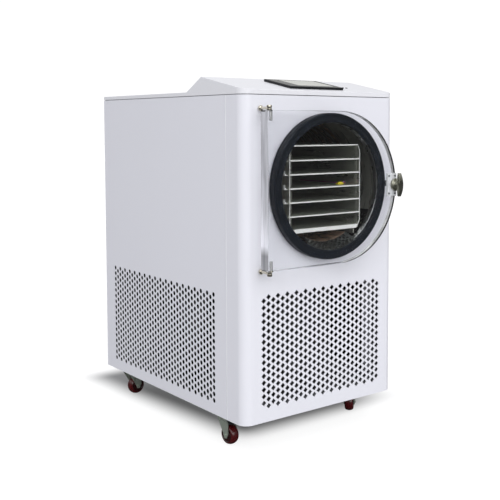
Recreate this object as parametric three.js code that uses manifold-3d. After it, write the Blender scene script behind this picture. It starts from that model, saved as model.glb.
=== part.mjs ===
// A front-loading freeze dryer on casters: a sheet steel cabinet with a round vacuum chamber,
// a rack of heated shelves behind a clear acrylic door, and a cooling unit below.
// Millimetres. +X is the machine's right-hand side seen from the front, -Y its front, +Z up.
// Inside this file y is measured back from the cabinet's front face; one group shifts it at the end.
import * as THREE from "three";
import { mergeVertices } from "three/addons/utils/BufferGeometryUtils.js";
import Module from "manifold-3d";

const wasm = await Module();
wasm.setup();

// ---------- driving dimensions ----------
const FIT = 0.3; // gap between pieces that touch
const RUNNING = 0.3; // radial clearance of pins and shafts

// cabinet
const CABINET_WIDTH = 500;
const CABINET_DEPTH = 715;
const CABINET_HEIGHT = 800; // bottom edge to the seam under the lid
const SHEET = 2; // panel steel
const EDGE_RADIUS = 27; // the front cover's rolled vertical edges
const COVER_RETURN = 73.5; // how far the front cover wraps back along the sides
const PANEL_GAP = 1; // line between the front cover and a side panel
const TRAY_THICKNESS = 3;

// frame of welded square tube inside the cabinet, with the deck and the saddles under the chamber
const TUBE = 25;
const FRAME_FRONT = 30; // front posts, back from the front face
const DECK_LENGTH = 430;
const DECK_SHEET = 2;
const SADDLE_WIDTH = 240;
const SADDLE_THICKNESS = 20;
const SADDLE_UNDER = 39; // deck to the barrel's lowest line
const SADDLE_RISE = 41; // how far the saddles reach up the barrel
const SADDLE_PLACES = [50, 340];

// lid with its sloping console
const LID_SEAM = 1.5; // dark line between the panels and the lid
const LID_WALL = 5;
const LID_SKIRT = 10; // height of the flat part
const LIP_HEIGHT = 11.5; // height of the front lip
const RIDGE_HEIGHT = 47; // height of the console's ridge
const RIDGE_BACK = 180; // ridge, back from the front face
const CONSOLE_FOOT = 250; // end of the console's rear slope

// touch screen, button and lamp on the console
const SCREEN_WIDTH = 174;
const SCREEN_LENGTH = 115;
const SCREEN_HEIGHT = 6.2;
const SCREEN_UP_SLOPE = 24; // from the front lip
const SCREEN_BORDER = 6;
const SCREEN_RECESS = 1.5;
const BUTTON_RADIUS = 3.2;
const BUTTON_X = 121;
const LAMP_X = 134;
const BUTTON_UP_SLOPE = 65;
const BUTTON_PROUD = 2;
const BUTTON_TRAVEL = 1.5;
const LAMP_DOME = 1; // height of the lamp's rounded end
const POCKET_DEPTH = 4;

// vacuum chamber
const CHAMBER_DROP = 226; // axis below the cabinet's top edge
const MOUTH_RADIUS = 160;
const COIL_SPACE = 12; // the barrel is this much wider than the mouth all round
const BARREL_WALL = 3;
const BARREL_LENGTH = 430;
const END_CORNER = 20; // rim of the pressed end
const COVER_HOLE_GAP = 1; // barrel to the edge of the front cover's hole
const FLANGE_WIDTH = 18;
const FLANGE_THICKNESS = 15.7;
const GASKET_SKIRT = 6; // rubber outside the flange
const GASKET_FACE = 7.7; // rubber in front of the flange
const GASKET_SKIRT_END = 3; // the skirt stops this far from the cabinet
const CHAMBER_SEGMENTS = 48;

// coil and guard inside the chamber
const COIL_TUBE = 4; // radius of the copper tube
const COIL_PITCH = 30;
const COIL_GAP = 7; // guard to the coil's first turn
const COIL_END_SPACE = 45; // coil's last turn to the barrel's end
const COIL_STEPS = 20; // per turn
const GUARD_STEP = 0.5; // the guard's inside lies this far outside the mouth
const GUARD_SHEET = 1.5;
const GUARD_LENGTH = 85;
const GUARD_HALF_ANGLE = 65;

// shelf rack, heights from the chamber's axis
const RACK_CLEARANCE = 4.4; // from the rack's corners to the mouth it slides in through
const RACK_PLATE = 2;
const RACK_FRONT = 3;
const RACK_LENGTH = 297;
const RACK_LEAN = 0.5; // the side plates lean inwards near the top and the base shelf
const LEAN_UNDER_TOP = 14.6; // the lean starts this far below the top shelf
const LEAN_OVER_BASE = 11; // and this far above the base shelf
const BASE_SHELF_TOP = -104;
const BASE_SHELF_THICKNESS = 10;
const BASE_SHELF_GAP = 0.35; // between the base shelf and the side plates
const PLATE_STEP = 1; // the side plates end this far above the base shelf's underside
const SHELF_THICKNESS = 3.3;
const SHELF_COUNT = 5; // between the top shelf and the base shelf
const SHELF_PITCH = 34.7;
const FIRST_SHELF = 31.4; // base shelf's top to the lowest shelf's middle
const LAST_SHELF = 36.4; // highest of the five to the top shelf
const RAIL_INSET = 11.5; // rail's middle from the rack's lower edge
const RAIL_THICKNESS = 3;
const RAIL_FRONT = 3;

// door
const DOOR_THICKNESS = 28.3;
const DOOR_RIM = 7; // door outside the gasket, above, below and on the round side
const DOOR_HINGE_SIDE = 31.6; // door outside the gasket on the hinge side
const DOOR_DROP = 2.4; // door's middle below the chamber's axis
const DOOR_ARC_X = 15; // centre of the round side
const DOOR_CORNER = 5;

// door hinges
const HINGE_INSET = 14.6; // pin axis from the door's side face
const PIN_RADIUS = 4;
const PIN_DEPTH = 24; // into the door's edge
const COLLAR_RADIUS = 6.5;
const COLLAR_HEIGHT = 9.5;
const COLLAR_CLEARANCE = 0.6; // over the door's edge
const POST_RADIUS = 4;
const POST_FOOT_RADIUS = 7;
const POST_FOOT_LENGTH = 5;

// latch
const LATCH_OFFSET = 12; // spindle's axis outside the gasket
const LATCH_DROP = 2; // spindle's axis below the chamber's
const SPINDLE_RADIUS = 5;
const SPINDLE_END = 1; // spindle behind the cam
const LATCH_BLOCK = { inward: 26, outward: 6.5, height: 60, thickness: 6 };
const HUB_RADIUS = 13;
const HUB_LENGTH = 5;
const NECK_RADIUS = 9;
const NECK_LENGTH = 9;
const NECK_SINK = 1; // turned parts run this far into each other
const HANDLE_LENGTH = 61;
const HANDLE_WIDTH = 15;
const HANDLE_TIP = 9;
const HANDLE_THICKNESS = 10;
const CAM_THICKNESS = 4;
const CAM_BEHIND_DOOR = 10; // cam's front face, behind the door's back face
const CAM_RIM = 1.5; // metal round the spindle
const KEEPER_SHEET = 1.6;
const KEEPER_HEIGHT = 14;
const LIP_GAP = 0.9; // cam to the back of the keeper's lip
const KEEPER_FOOT = 10;

// casters
const WHEEL_RADIUS = 25;
const WHEEL_WIDTH = 24;
const TREAD_ROUND = 3; // shoulder of the tread
const AXLE_RADIUS = 4;
const CASTER_HEADROOM = 30; // top of the wheel to the cabinet's bottom edge
const CASTER_TRAIL = 18;
const CASTER_INSET = 36; // swivel axis from the cabinet's side
const CASTER_FRONT = 132; // swivel axis, back from the front face
const CASTER_REAR = 76; // swivel axis, forward from the rear face
const CASTER_PLATE = { length: 62, width: 54, thickness: 2.5 };
const BOSS_RADIUS = 20;
const BOSS_HEIGHT = 4;
const CROWN_RADIUS = 19;
const CROWN_THICKNESS = 4;
const FORK_SHEET = 2.5;
const FORK_SIDE_GAP = 1;
const CHEEK_SHOULDER = 9; // half the cheek's width above the axle
const CHEEK_ABOVE_AXLE = 4;
const CHEEK_FOOT = 4; // half the cheek's width under the axle
const CHEEK_BELOW_AXLE = 8;
const CROWN_INSET = 2; // cheeks inside the crown's edge
const AXLE_HEAD = 2; // axle outside the cheeks
const PEDAL_CLEARANCE = 7; // pedal's pivot above the wheel
const PEDAL_START = -4; // from the axle, along the fork
const PEDAL_ROOT = 12; // flat part over the wheel
const PEDAL_LENGTH = 34;
const PEDAL_HALF = 3; // half its thickness
const CASTERS_WITH_BRAKE = ["front_left", "rear_left"];
const CASTER_HEADINGS = { front_left: -86, front_right: -137, rear_left: 6, rear_right: 60 };

// cooling unit in the lower part
const RADIATOR = { x: -40, width: 220, thickness: 40, gap: 5, headroom: 31.7 }; // gap, headroom: to frame
const SHROUD_LENGTH = 40;
const SHROUD_SHEET = 2;
const SHROUD_RIM = 7; // shroud's side to its round opening, where they are closest
const FAN_TIP_GAP = 5;
const FAN_HUB_RADIUS = 30;
const BLADE_ROOT = 5; // blades run this far into the hub
const FAN_HUB_LENGTH = 20;
const FAN_BLADES = 5;
const BLADE_CHORD = 34;
const BLADE_THICKNESS = 2;
const FAN_PITCH = 28; // degrees
const MOTOR_RADIUS = 36;
const MOTOR_LENGTH = 50;
const MOTOR_BAR = 24;
const COMPRESSOR = { x: 110, y: 430, radius: 80, height: 217, top: 40 };
const SHELL_FOOT = { inset: 8, height: 12 };
const SHELL_DOME = { start: 50, inset: 14, height: 18 };
const CONTROL_BOX = { side: 35, width: 120, back: 95, depth: 220, height: 250 }; // side, back: to cabinet

// fittings on the rear panel
const REAR_REACH = 25;
const PORT = { rise: 480, radius: 20, neck: 14, base: 28, baseThickness: 4, lip: 6, taper: 3 };
const PIPE_WALL = 3; // of the vacuum pipe from the chamber's end to the port
const INLET = { x: -150, rise: 120, width: 60, tall: 50, depth: 8, rim: 6, recess: 3 };

// ---------- sizes worked out from those above ----------
const HALF_WIDTH = CABINET_WIDTH / 2;
const CABINET_BOTTOM = 2 * WHEEL_RADIUS + CASTER_HEADROOM;
const CABINET_TOP = CABINET_BOTTOM + CABINET_HEIGHT;
const INNER_HALF = HALF_WIDTH - SHEET - FIT; // to the inside of the panels
const INNER_BACK = CABINET_DEPTH - SHEET - FIT;
const TRAY_TOP = CABINET_BOTTOM + TRAY_THICKNESS;
const LID_BOTTOM = CABINET_TOP + LID_SEAM;
const LIP_TOP = LID_BOTTOM + LIP_HEIGHT;
const SLOPE_ANGLE = Math.atan2(RIDGE_HEIGHT - LIP_HEIGHT, RIDGE_BACK);
const CHAMBER_HEIGHT = CABINET_TOP - CHAMBER_DROP;
const BARREL_RADIUS = MOUTH_RADIUS + COIL_SPACE; // inside
const BARREL_OUTER = BARREL_RADIUS + BARREL_WALL;
const DECK_HEIGHT = CHAMBER_HEIGHT - BARREL_OUTER - SADDLE_UNDER; // top of the deck and the middle rails
const FLANGE_RADIUS = MOUTH_RADIUS + FLANGE_WIDTH;
const GASKET_RADIUS = FLANGE_RADIUS + GASKET_SKIRT;
const GASKET_FRONT = -(FIT + FLANGE_THICKNESS + FIT + GASKET_FACE);
const DOOR_BACK = GASKET_FRONT - FIT;
const DOOR_FRONT = DOOR_BACK - DOOR_THICKNESS;
const DOOR_HEIGHT = CHAMBER_HEIGHT - DOOR_DROP; // its middle
const DOOR_RADIUS = GASKET_RADIUS + DOOR_RIM; // half its height, and the radius of its round side
const DOOR_LEFT = -(GASKET_RADIUS + DOOR_HINGE_SIDE);
const HINGE_X = DOOR_LEFT + HINGE_INSET;
const HINGE_Y = DOOR_BACK - DOOR_THICKNESS / 2;
const LATCH_X = GASKET_RADIUS + LATCH_OFFSET;
const LATCH_HEIGHT = CHAMBER_HEIGHT - LATCH_DROP;
const BLOCK_FRONT = DOOR_FRONT - FIT - LATCH_BLOCK.thickness;
const HANDLE_BACK = BLOCK_FRONT - FIT - HUB_LENGTH - NECK_LENGTH;
const HANDLE_FRONT = HANDLE_BACK - HANDLE_THICKNESS;
const CAM_FRONT = DOOR_BACK + CAM_BEHIND_DOOR;
const KEEPER_SIDE = GASKET_RADIUS + 2 * FIT; // the keeper stands beside the gasket
const CAM_REACH = LATCH_X - KEEPER_SIDE - KEEPER_SHEET - FIT;
const GUARD_RADIUS = MOUTH_RADIUS + GUARD_STEP; // inside
const COIL_START = GUARD_LENGTH + COIL_GAP;
const COIL_END = BARREL_LENGTH - COIL_END_SPACE;
const RAIL_REACH = GUARD_RADIUS - 2 * FIT; // a rack rail's lowest corner, from the chamber's axis
const RAIL_END = BARREL_LENGTH - END_CORNER + BARREL_RADIUS - RAIL_REACH - 2 * FIT; // on the end's rim
const LOWEST_SHELF = BASE_SHELF_TOP + FIRST_SHELF;
const TOP_SHELF = LOWEST_SHELF + (SHELF_COUNT - 1) * SHELF_PITCH + LAST_SHELF;
const RACK_STRAIGHT_TOP = TOP_SHELF - LEAN_UNDER_TOP;
const RACK_STRAIGHT_BOTTOM = BASE_SHELF_TOP + LEAN_OVER_BASE;
const BASE_SHELF_BOTTOM = BASE_SHELF_TOP - BASE_SHELF_THICKNESS;
const FORK_CROWN_TOP = CABINET_BOTTOM - FIT - CASTER_PLATE.thickness - BOSS_HEIGHT - FIT;
const PEDAL_PIVOT_HEIGHT = 2 * WHEEL_RADIUS + PEDAL_CLEARANCE;
const RADIATOR_FRONT = FRAME_FRONT + TUBE + RADIATOR.gap;
const RADIATOR_TOP = DECK_HEIGHT - TUBE - RADIATOR.headroom;
const SHROUD_FRONT = RADIATOR_FRONT + RADIATOR.thickness + FIT;

// ---------- shape helpers ----------
// A merged, closed geometry as a solid that can be joined and cut.
function solid(geometry) {
  const loose = geometry.index ? geometry.toNonIndexed() : geometry;
  const plain = new THREE.BufferGeometry();
  plain.setAttribute("position", loose.getAttribute("position"));
  const merged = mergeVertices(plain, 1e-3);
  return new wasm.Manifold(new wasm.Mesh({
    numProp: 3,
    vertProperties: merged.getAttribute("position").array,
    triVerts: new Uint32Array(merged.index.array),
  }));
}

function geometryOf(manifold) {
  const mesh = manifold.getMesh();
  const geometry = new THREE.BufferGeometry();
  geometry.setAttribute("position", new THREE.BufferAttribute(mesh.vertProperties, 3));
  geometry.setIndex(new THREE.BufferAttribute(mesh.triVerts, 1));
  return geometry;
}

const join = (...parts) => geometryOf(parts.map(solid).reduce((a, b) => a.add(b)));
const cut = (body, ...tools) => geometryOf(tools.reduce((a, tool) => a.subtract(solid(tool)), solid(body)));
const common = (a, b) => geometryOf(solid(a).intersect(solid(b)));

const X = new THREE.Vector3(1, 0, 0);
const Y = new THREE.Vector3(0, 1, 0);
const Z = new THREE.Vector3(0, 0, 1);
const outline = (points) => new THREE.Shape(points.map(([a, b]) => new THREE.Vector2(a, b)));
const extrude = (shape, depth, curveSegments = 8) =>
  new THREE.ExtrudeGeometry(shape, { depth, curveSegments, bevelEnabled: false });

// A shape drawn in x and y, raised from one height to another.
const raise = (shape, low, high, segments) => extrude(shape, high - low, segments).translate(0, 0, low);

// A shape drawn in x and z, run from front to back.
function runBack(shape, front, back, segments) {
  const turn = new THREE.Matrix4().makeBasis(X, Z, Y.clone().negate());
  return extrude(shape, back - front, segments).applyMatrix4(turn).translate(0, back, 0);
}

// A shape drawn in y and z, run from left to right.
function runAcross(shape, left, right, segments) {
  const turn = new THREE.Matrix4().makeBasis(Y, Z, X);
  return extrude(shape, right - left, segments).applyMatrix4(turn).translate(left, 0, 0);
}

// A box between two corners.
function block([x0, y0, z0], [x1, y1, z1]) {
  return new THREE.BoxGeometry(x1 - x0, y1 - y0, z1 - z0)
    .translate((x0 + x1) / 2, (y0 + y1) / 2, (z0 + z1) / 2);
}

// A turned piece about the y axis; the profile lists [radius, y] and closes on itself or on the axis.
function turned(profile, segments = 24) {
  const points = profile.map(([r, y]) => new THREE.Vector2(r, y));
  if (THREE.ShapeUtils.area(points) < 0) points.reverse();
  if (points[0].x > 0 || points.at(-1).x > 0) points.push(points[0].clone());
  return new THREE.LatheGeometry(points, segments);
}

const ring = (inner, outer, from, to, segments) =>
  turned([[inner, from], [outer, from], [outer, to], [inner, to]], segments);
const rod = (radius, from, to, segments) =>
  turned([[0, from], [radius, from], [radius, to], [0, to]], segments);
const upright = (geometry) => geometry.rotateX(Math.PI / 2); // y axis to z axis

// A round tube along a curve.
function pipe(path, radius, steps) {
  const section = new THREE.Shape().absarc(0, 0, radius, 0, 2 * Math.PI);
  return new THREE.ExtrudeGeometry(section, { steps, extrudePath: path, curveSegments: 3 });
}

// The cabinet's outline from above, with round front corners.
function planOutline(halfWidth, front, back, radius) {
  const shape = new THREE.Shape();
  shape.moveTo(-halfWidth, back);
  shape.lineTo(-halfWidth, front + radius);
  shape.absarc(-halfWidth + radius, front + radius, radius, Math.PI, 1.5 * Math.PI);
  shape.absarc(halfWidth - radius, front + radius, radius, 1.5 * Math.PI, 2 * Math.PI);
  shape.lineTo(halfWidth, back);
  return shape;
}

const machine = new THREE.Group();
const WHITE = [0xe9e8ee, 0.45, 0];
const INNER_STEEL = [0x9a9da0, 0.4, 0.9];
const STAINLESS = [0x74777a, 0.3, 1];
const PLATED = [0x8c9488, 0.35, 1];
const RUBBER = [0x15181f, 0.7, 0];

function add(name, geometry, [color, roughness, metalness], parent = machine) {
  const material = new THREE.MeshStandardMaterial({ color, roughness, metalness });
  const mesh = new THREE.Mesh(geometry, material);
  mesh.name = name;
  parent.add(mesh);
  return mesh;
}

// ---------- cabinet ----------
function buildCabinet() {
  const low = CABINET_BOTTOM;
  const high = CABINET_TOP;
  const wrapped = cut(
    raise(planOutline(HALF_WIDTH, 0, COVER_RETURN, EDGE_RADIUS), low, high),
    raise(planOutline(HALF_WIDTH - SHEET, SHEET, COVER_RETURN + 1, EDGE_RADIUS - SHEET), low - 1, high + 1),
    rod(BARREL_OUTER + COVER_HOLE_GAP, -1, SHEET + 1, CHAMBER_SEGMENTS).translate(0, 0, CHAMBER_HEIGHT));
  add("front_cover", wrapped, WHITE);

  const sideFront = COVER_RETURN + PANEL_GAP;
  for (const [name, side] of [["left_side_panel", -1], ["right_side_panel", 1]]) {
    const edges = [side * (HALF_WIDTH - SHEET), side * HALF_WIDTH].sort((a, b) => a - b);
    add(name, block([edges[0], sideFront, low], [edges[1], INNER_BACK, high]), WHITE);
  }
  const rear = block([-HALF_WIDTH, CABINET_DEPTH - SHEET, low], [HALF_WIDTH, CABINET_DEPTH, high]);
  add("rear_panel", rear, WHITE);
  const tray = planOutline(INNER_HALF, SHEET + FIT, INNER_BACK, EDGE_RADIUS - SHEET - FIT);
  add("base_tray", raise(tray, low, TRAY_TOP), INNER_STEEL);
}

// Posts, three rings of rails, the deck and the two saddles that carry the chamber, welded into one piece.
function buildFrame() {
  const low = TRAY_TOP + FIT;
  const high = LID_BOTTOM - FIT;
  const bars = [];
  for (const x of [-INNER_HALF, INNER_HALF - TUBE])
    for (const y of [FRAME_FRONT, INNER_BACK - TUBE])
      bars.push(block([x, y, low], [x + TUBE, y + TUBE, high]));
  for (const z of [low, DECK_HEIGHT - TUBE, high - TUBE]) {
    for (const x of [-INNER_HALF, INNER_HALF - TUBE])
      bars.push(block([x, FRAME_FRONT, z], [x + TUBE, INNER_BACK, z + TUBE]));
    for (const y of [FRAME_FRONT, INNER_BACK - TUBE])
      bars.push(block([-INNER_HALF, y, z], [INNER_HALF, y + TUBE, z + TUBE]));
  }
  const deck = block([-INNER_HALF, FRAME_FRONT, DECK_HEIGHT - DECK_SHEET],
    [INNER_HALF, FRAME_FRONT + DECK_LENGTH, DECK_HEIGHT]);
  const saddles = SADDLE_PLACES.map((place) => cut(
    block([-SADDLE_WIDTH / 2, place, DECK_HEIGHT - DECK_SHEET],
      [SADDLE_WIDTH / 2, place + SADDLE_THICKNESS, CHAMBER_HEIGHT - BARREL_OUTER + SADDLE_RISE]),
    rod(BARREL_OUTER + FIT, place - 1, place + SADDLE_THICKNESS + 1, CHAMBER_SEGMENTS)
      .translate(0, 0, CHAMBER_HEIGHT)));
  add("frame", join(...bars, deck, ...saddles), INNER_STEEL);
}

// ---------- lid and console ----------
function buildLid() {
  const flat = LID_BOTTOM + LID_SKIRT;
  const ridge = LID_BOTTOM + RIDGE_HEIGHT;
  const rise = Math.tan(SLOPE_ANGLE) * LID_WALL;
  const outside = runAcross(outline([[0, LID_BOTTOM], [0, LIP_TOP], [RIDGE_BACK, ridge],
    [CONSOLE_FOOT, flat], [CABINET_DEPTH, flat], [CABINET_DEPTH, LID_BOTTOM]]), -HALF_WIDTH, HALF_WIDTH);
  const back = CABINET_DEPTH - LID_WALL;
  const hollow = runAcross(outline([[LID_WALL, LID_BOTTOM - 1], [LID_WALL, LIP_TOP + rise - LID_WALL],
    [RIDGE_BACK, ridge - LID_WALL], [CONSOLE_FOOT, flat - LID_WALL], [back, flat - LID_WALL],
    [back, LID_BOTTOM - 1]]), LID_WALL - HALF_WIDTH, HALF_WIDTH - LID_WALL);
  const plan = raise(planOutline(HALF_WIDTH, 0, CABINET_DEPTH, EDGE_RADIUS), LID_BOTTOM, ridge + 1);
  const innerPlan = raise(
    planOutline(HALF_WIDTH - LID_WALL, LID_WALL, CABINET_DEPTH, EDGE_RADIUS - LID_WALL),
    LID_BOTTOM - 1, ridge + 1);
  const pockets = [BUTTON_X, LAMP_X].map((x) =>
    upright(rod(BUTTON_RADIUS + RUNNING, -POCKET_DEPTH, 5, 16)).translate(x, BUTTON_UP_SLOPE, 0)
      .rotateX(SLOPE_ANGLE).translate(0, 0, LIP_TOP));
  add("top_lid", cut(common(outside, plan), common(hollow, innerPlan), ...pockets), WHITE);
}

// The console's own frame: y runs up the slope from the lip, z stands off it.
function buildConsole() {
  const slope = new THREE.Group();
  slope.position.z = LIP_TOP;
  slope.rotation.x = SLOPE_ANGLE;
  machine.add(slope);

  const half = SCREEN_WIDTH / 2;
  const low = SCREEN_UP_SLOPE;
  const high = SCREEN_UP_SLOPE + SCREEN_LENGTH;
  const top = FIT + SCREEN_HEIGHT;
  const recess = block([-half + SCREEN_BORDER, low + SCREEN_BORDER, top - SCREEN_RECESS],
    [half - SCREEN_BORDER, high - SCREEN_BORDER, top + 1]);
  add("screen_bezel", cut(block([-half, low, FIT], [half, high, top]), recess), [0x0d0e10, 0.35, 0], slope);
  const edge = SCREEN_BORDER + FIT;
  const glass = block([-half + edge, low + edge, top - SCREEN_RECESS + FIT],
    [half - edge, high - edge, top]);
  add("screen_glass", glass, [0xb9bcb6, 0.15, 0], slope);

  const stem = FIT + BUTTON_TRAVEL - POCKET_DEPTH;
  const button = upright(rod(BUTTON_RADIUS, stem, BUTTON_PROUD, 16))
    .translate(BUTTON_X, BUTTON_UP_SLOPE, 0);
  add("power_button", button, [0x3a3c40, 0.4, 0.5], slope);
  const lamp = upright(turned([[0, FIT - POCKET_DEPTH], [BUTTON_RADIUS, FIT - POCKET_DEPTH],
    [BUTTON_RADIUS, BUTTON_PROUD - LAMP_DOME], [BUTTON_RADIUS / 2, BUTTON_PROUD], [0, BUTTON_PROUD]], 16))
    .translate(LAMP_X, BUTTON_UP_SLOPE, 0);
  add("status_lamp", lamp, [0x8a8c90, 0.3, 0], slope);
}

// ---------- vacuum chamber ----------
// The chamber's own frame: the y axis is the barrel's axis.
function buildChamber() {
  const chamber = new THREE.Group();
  chamber.position.z = CHAMBER_HEIGHT;
  machine.add(chamber);

  const rimStart = BARREL_LENGTH - END_CORNER;
  const barrel = ring(BARREL_RADIUS, BARREL_OUTER, 0, rimStart, CHAMBER_SEGMENTS);
  add("chamber_barrel", barrel, STAINLESS, chamber);
  const end = BARREL_LENGTH;
  const pressed = turned([[0, end], [BARREL_OUTER - END_CORNER, end], [BARREL_OUTER, rimStart + FIT],
    [BARREL_RADIUS, rimStart + FIT], [BARREL_RADIUS - END_CORNER + BARREL_WALL, end - BARREL_WALL],
    [0, end - BARREL_WALL]], CHAMBER_SEGMENTS);
  add("chamber_end", pressed, STAINLESS, chamber);

  const flangeFront = -FIT - FLANGE_THICKNESS;
  const flange = ring(MOUTH_RADIUS, FLANGE_RADIUS, flangeFront, -FIT, CHAMBER_SEGMENTS);
  add("chamber_flange", flange, STAINLESS, chamber);
  const gasketBack = flangeFront - FIT;
  const gasket = turned([[MOUTH_RADIUS, GASKET_FRONT], [GASKET_RADIUS, GASKET_FRONT],
    [GASKET_RADIUS, -GASKET_SKIRT_END], [FLANGE_RADIUS + FIT, -GASKET_SKIRT_END],
    [FLANGE_RADIUS + FIT, gasketBack], [MOUTH_RADIUS, gasketBack]], CHAMBER_SEGMENTS);
  add("door_gasket", gasket, RUBBER, chamber);

  // curved guard sheet over the floor of the chamber, just behind the mouth
  const guard = new THREE.Shape();
  const from = THREE.MathUtils.degToRad(-90 - GUARD_HALF_ANGLE);
  const to = THREE.MathUtils.degToRad(-90 + GUARD_HALF_ANGLE);
  guard.absarc(0, 0, GUARD_RADIUS + GUARD_SHEET, from, to);
  guard.absarc(0, 0, GUARD_RADIUS, to, from, true);
  add("ice_guard", runBack(guard, 0, GUARD_LENGTH, 13), STAINLESS, chamber);

  // copper evaporator coil against the barrel's wall
  const turns = (COIL_END - COIL_START) / COIL_PITCH;
  const coilRadius = BARREL_RADIUS * Math.cos(Math.PI / CHAMBER_SEGMENTS) - FIT - COIL_TUBE;
  class Helix extends THREE.Curve {
    getPoint(t, target = new THREE.Vector3()) {
      const angle = 2 * Math.PI * turns * t;
      const back = COIL_START + (COIL_END - COIL_START) * t;
      return target.set(coilRadius * Math.sin(angle), back, -coilRadius * Math.cos(angle));
    }
  }
  const coil = pipe(new Helix(), COIL_TUBE, Math.round(turns * COIL_STEPS));
  add("evaporator_coil", coil, [0x9a6a4c, 0.4, 1], chamber);
  buildRack(chamber);
}

// ---------- shelf rack ----------
// How far a side plate leans in at a height above the chamber's axis.
function rackLean(height) {
  const above = Math.max(0, height - RACK_STRAIGHT_TOP);
  const below = Math.max(0, RACK_STRAIGHT_BOTTOM - height);
  return RACK_LEAN * (above + below);
}

// The rack is as wide as its corners let it be on the way in through the mouth.
const RACK_HALF_WIDTH = Math.min(...[
  BASE_SHELF_BOTTOM + PLATE_STEP, RACK_STRAIGHT_BOTTOM, RACK_STRAIGHT_TOP, TOP_SHELF + SHELF_THICKNESS / 2,
].map((z) => Math.sqrt((MOUTH_RADIUS - RACK_CLEARANCE) ** 2 - z ** 2) + rackLean(z)));
const rackEdge = (height) => RACK_HALF_WIDTH - rackLean(height);

function buildRack(chamber) {
  const back = RACK_FRONT + RACK_LENGTH;
  const lean = RACK_PLATE * Math.hypot(1, RACK_LEAN); // plate's width across, where it leans
  const plateTop = TOP_SHELF - SHELF_THICKNESS / 2 - FIT;
  const plateBottom = BASE_SHELF_BOTTOM + PLATE_STEP;
  const heights = [plateBottom, RACK_STRAIGHT_BOTTOM, RACK_STRAIGHT_TOP, plateTop];
  const outer = heights.map((z) => [rackEdge(z), z]);
  const inner = outer.map(([x, z], i) => [x - (i % 3 ? RACK_PLATE : lean), z]).reverse();
  for (const [name, side] of [["rack_side_left", -1], ["rack_side_right", 1]]) {
    const profile = outline([...outer, ...inner].map(([x, z]) => [side * x, z]));
    add(name, runBack(profile, RACK_FRONT, back), [0xb8bab6, 0.35, 1], chamber);
  }

  const shelfMaterial = [0xb4b7b0, 0.35, 1];
  const shelf = (halfWidth, height) => runBack(outline([
    [-halfWidth, height - SHELF_THICKNESS / 2], [halfWidth, height - SHELF_THICKNESS / 2],
    [halfWidth, height + SHELF_THICKNESS / 2],
    [-halfWidth, height + SHELF_THICKNESS / 2]]), RACK_FRONT, back);
  add("shelf_top", shelf(rackEdge(TOP_SHELF), TOP_SHELF), shelfMaterial, chamber);
  for (let i = 0; i < SHELF_COUNT; i += 1)
    add(`shelf_${i + 1}`, shelf(RACK_HALF_WIDTH - RACK_PLATE - FIT, LOWEST_SHELF + i * SHELF_PITCH),
      shelfMaterial, chamber);
  const baseHalf = (z) => rackEdge(z) - lean - BASE_SHELF_GAP;
  const base = outline([
    [-baseHalf(BASE_SHELF_BOTTOM), BASE_SHELF_BOTTOM], [baseHalf(BASE_SHELF_BOTTOM), BASE_SHELF_BOTTOM],
    [baseHalf(BASE_SHELF_TOP), BASE_SHELF_TOP], [-baseHalf(BASE_SHELF_TOP), BASE_SHELF_TOP]]);
  add("shelf_base", runBack(base, RACK_FRONT, back), shelfMaterial, chamber);

  // rails that carry the rack, from the guard to the barrel's end
  const railX = rackEdge(BASE_SHELF_BOTTOM) - RAIL_INSET;
  const outerX = railX + RAIL_THICKNESS / 2;
  const railBottom = -Math.sqrt(RAIL_REACH ** 2 - outerX ** 2);
  for (const [name, x] of [["rack_rail_left", -railX], ["rack_rail_right", railX]])
    add(name, block([x - RAIL_THICKNESS / 2, RAIL_FRONT, railBottom],
      [x + RAIL_THICKNESS / 2, RAIL_END, BASE_SHELF_BOTTOM - FIT]), STAINLESS, chamber);
}

// ---------- door, hinges and latch ----------
function buildDoor() {
  const shape = new THREE.Shape();
  const top = DOOR_RADIUS;
  shape.moveTo(DOOR_ARC_X, -top);
  shape.absarc(DOOR_ARC_X, 0, top, -Math.PI / 2, Math.PI / 2);
  shape.lineTo(DOOR_LEFT + DOOR_CORNER, top);
  shape.absarc(DOOR_LEFT + DOOR_CORNER, top - DOOR_CORNER, DOOR_CORNER, Math.PI / 2, Math.PI);
  shape.lineTo(DOOR_LEFT, -top + DOOR_CORNER);
  shape.absarc(DOOR_LEFT + DOOR_CORNER, -top + DOOR_CORNER, DOOR_CORNER, Math.PI, 1.5 * Math.PI);
  const plate = runBack(shape, DOOR_FRONT, DOOR_BACK, 20).translate(0, 0, DOOR_HEIGHT);
  const bores = [1, -1].map((end) => {
    const depth = [top - PIN_DEPTH - RUNNING, top + 1].map((d) => d * end).sort((a, b) => a - b);
    return upright(rod(PIN_RADIUS + RUNNING, ...depth, 16)).translate(HINGE_X, HINGE_Y, DOOR_HEIGHT);
  });
  const spindleBore = rod(SPINDLE_RADIUS + RUNNING, DOOR_FRONT - 1, DOOR_BACK + 1, 16)
    .translate(LATCH_X, 0, LATCH_HEIGHT);
  add("door_plate", cut(plate, ...bores, spindleBore), [0xdfe3ea, 0.05, 0]);
}

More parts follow.
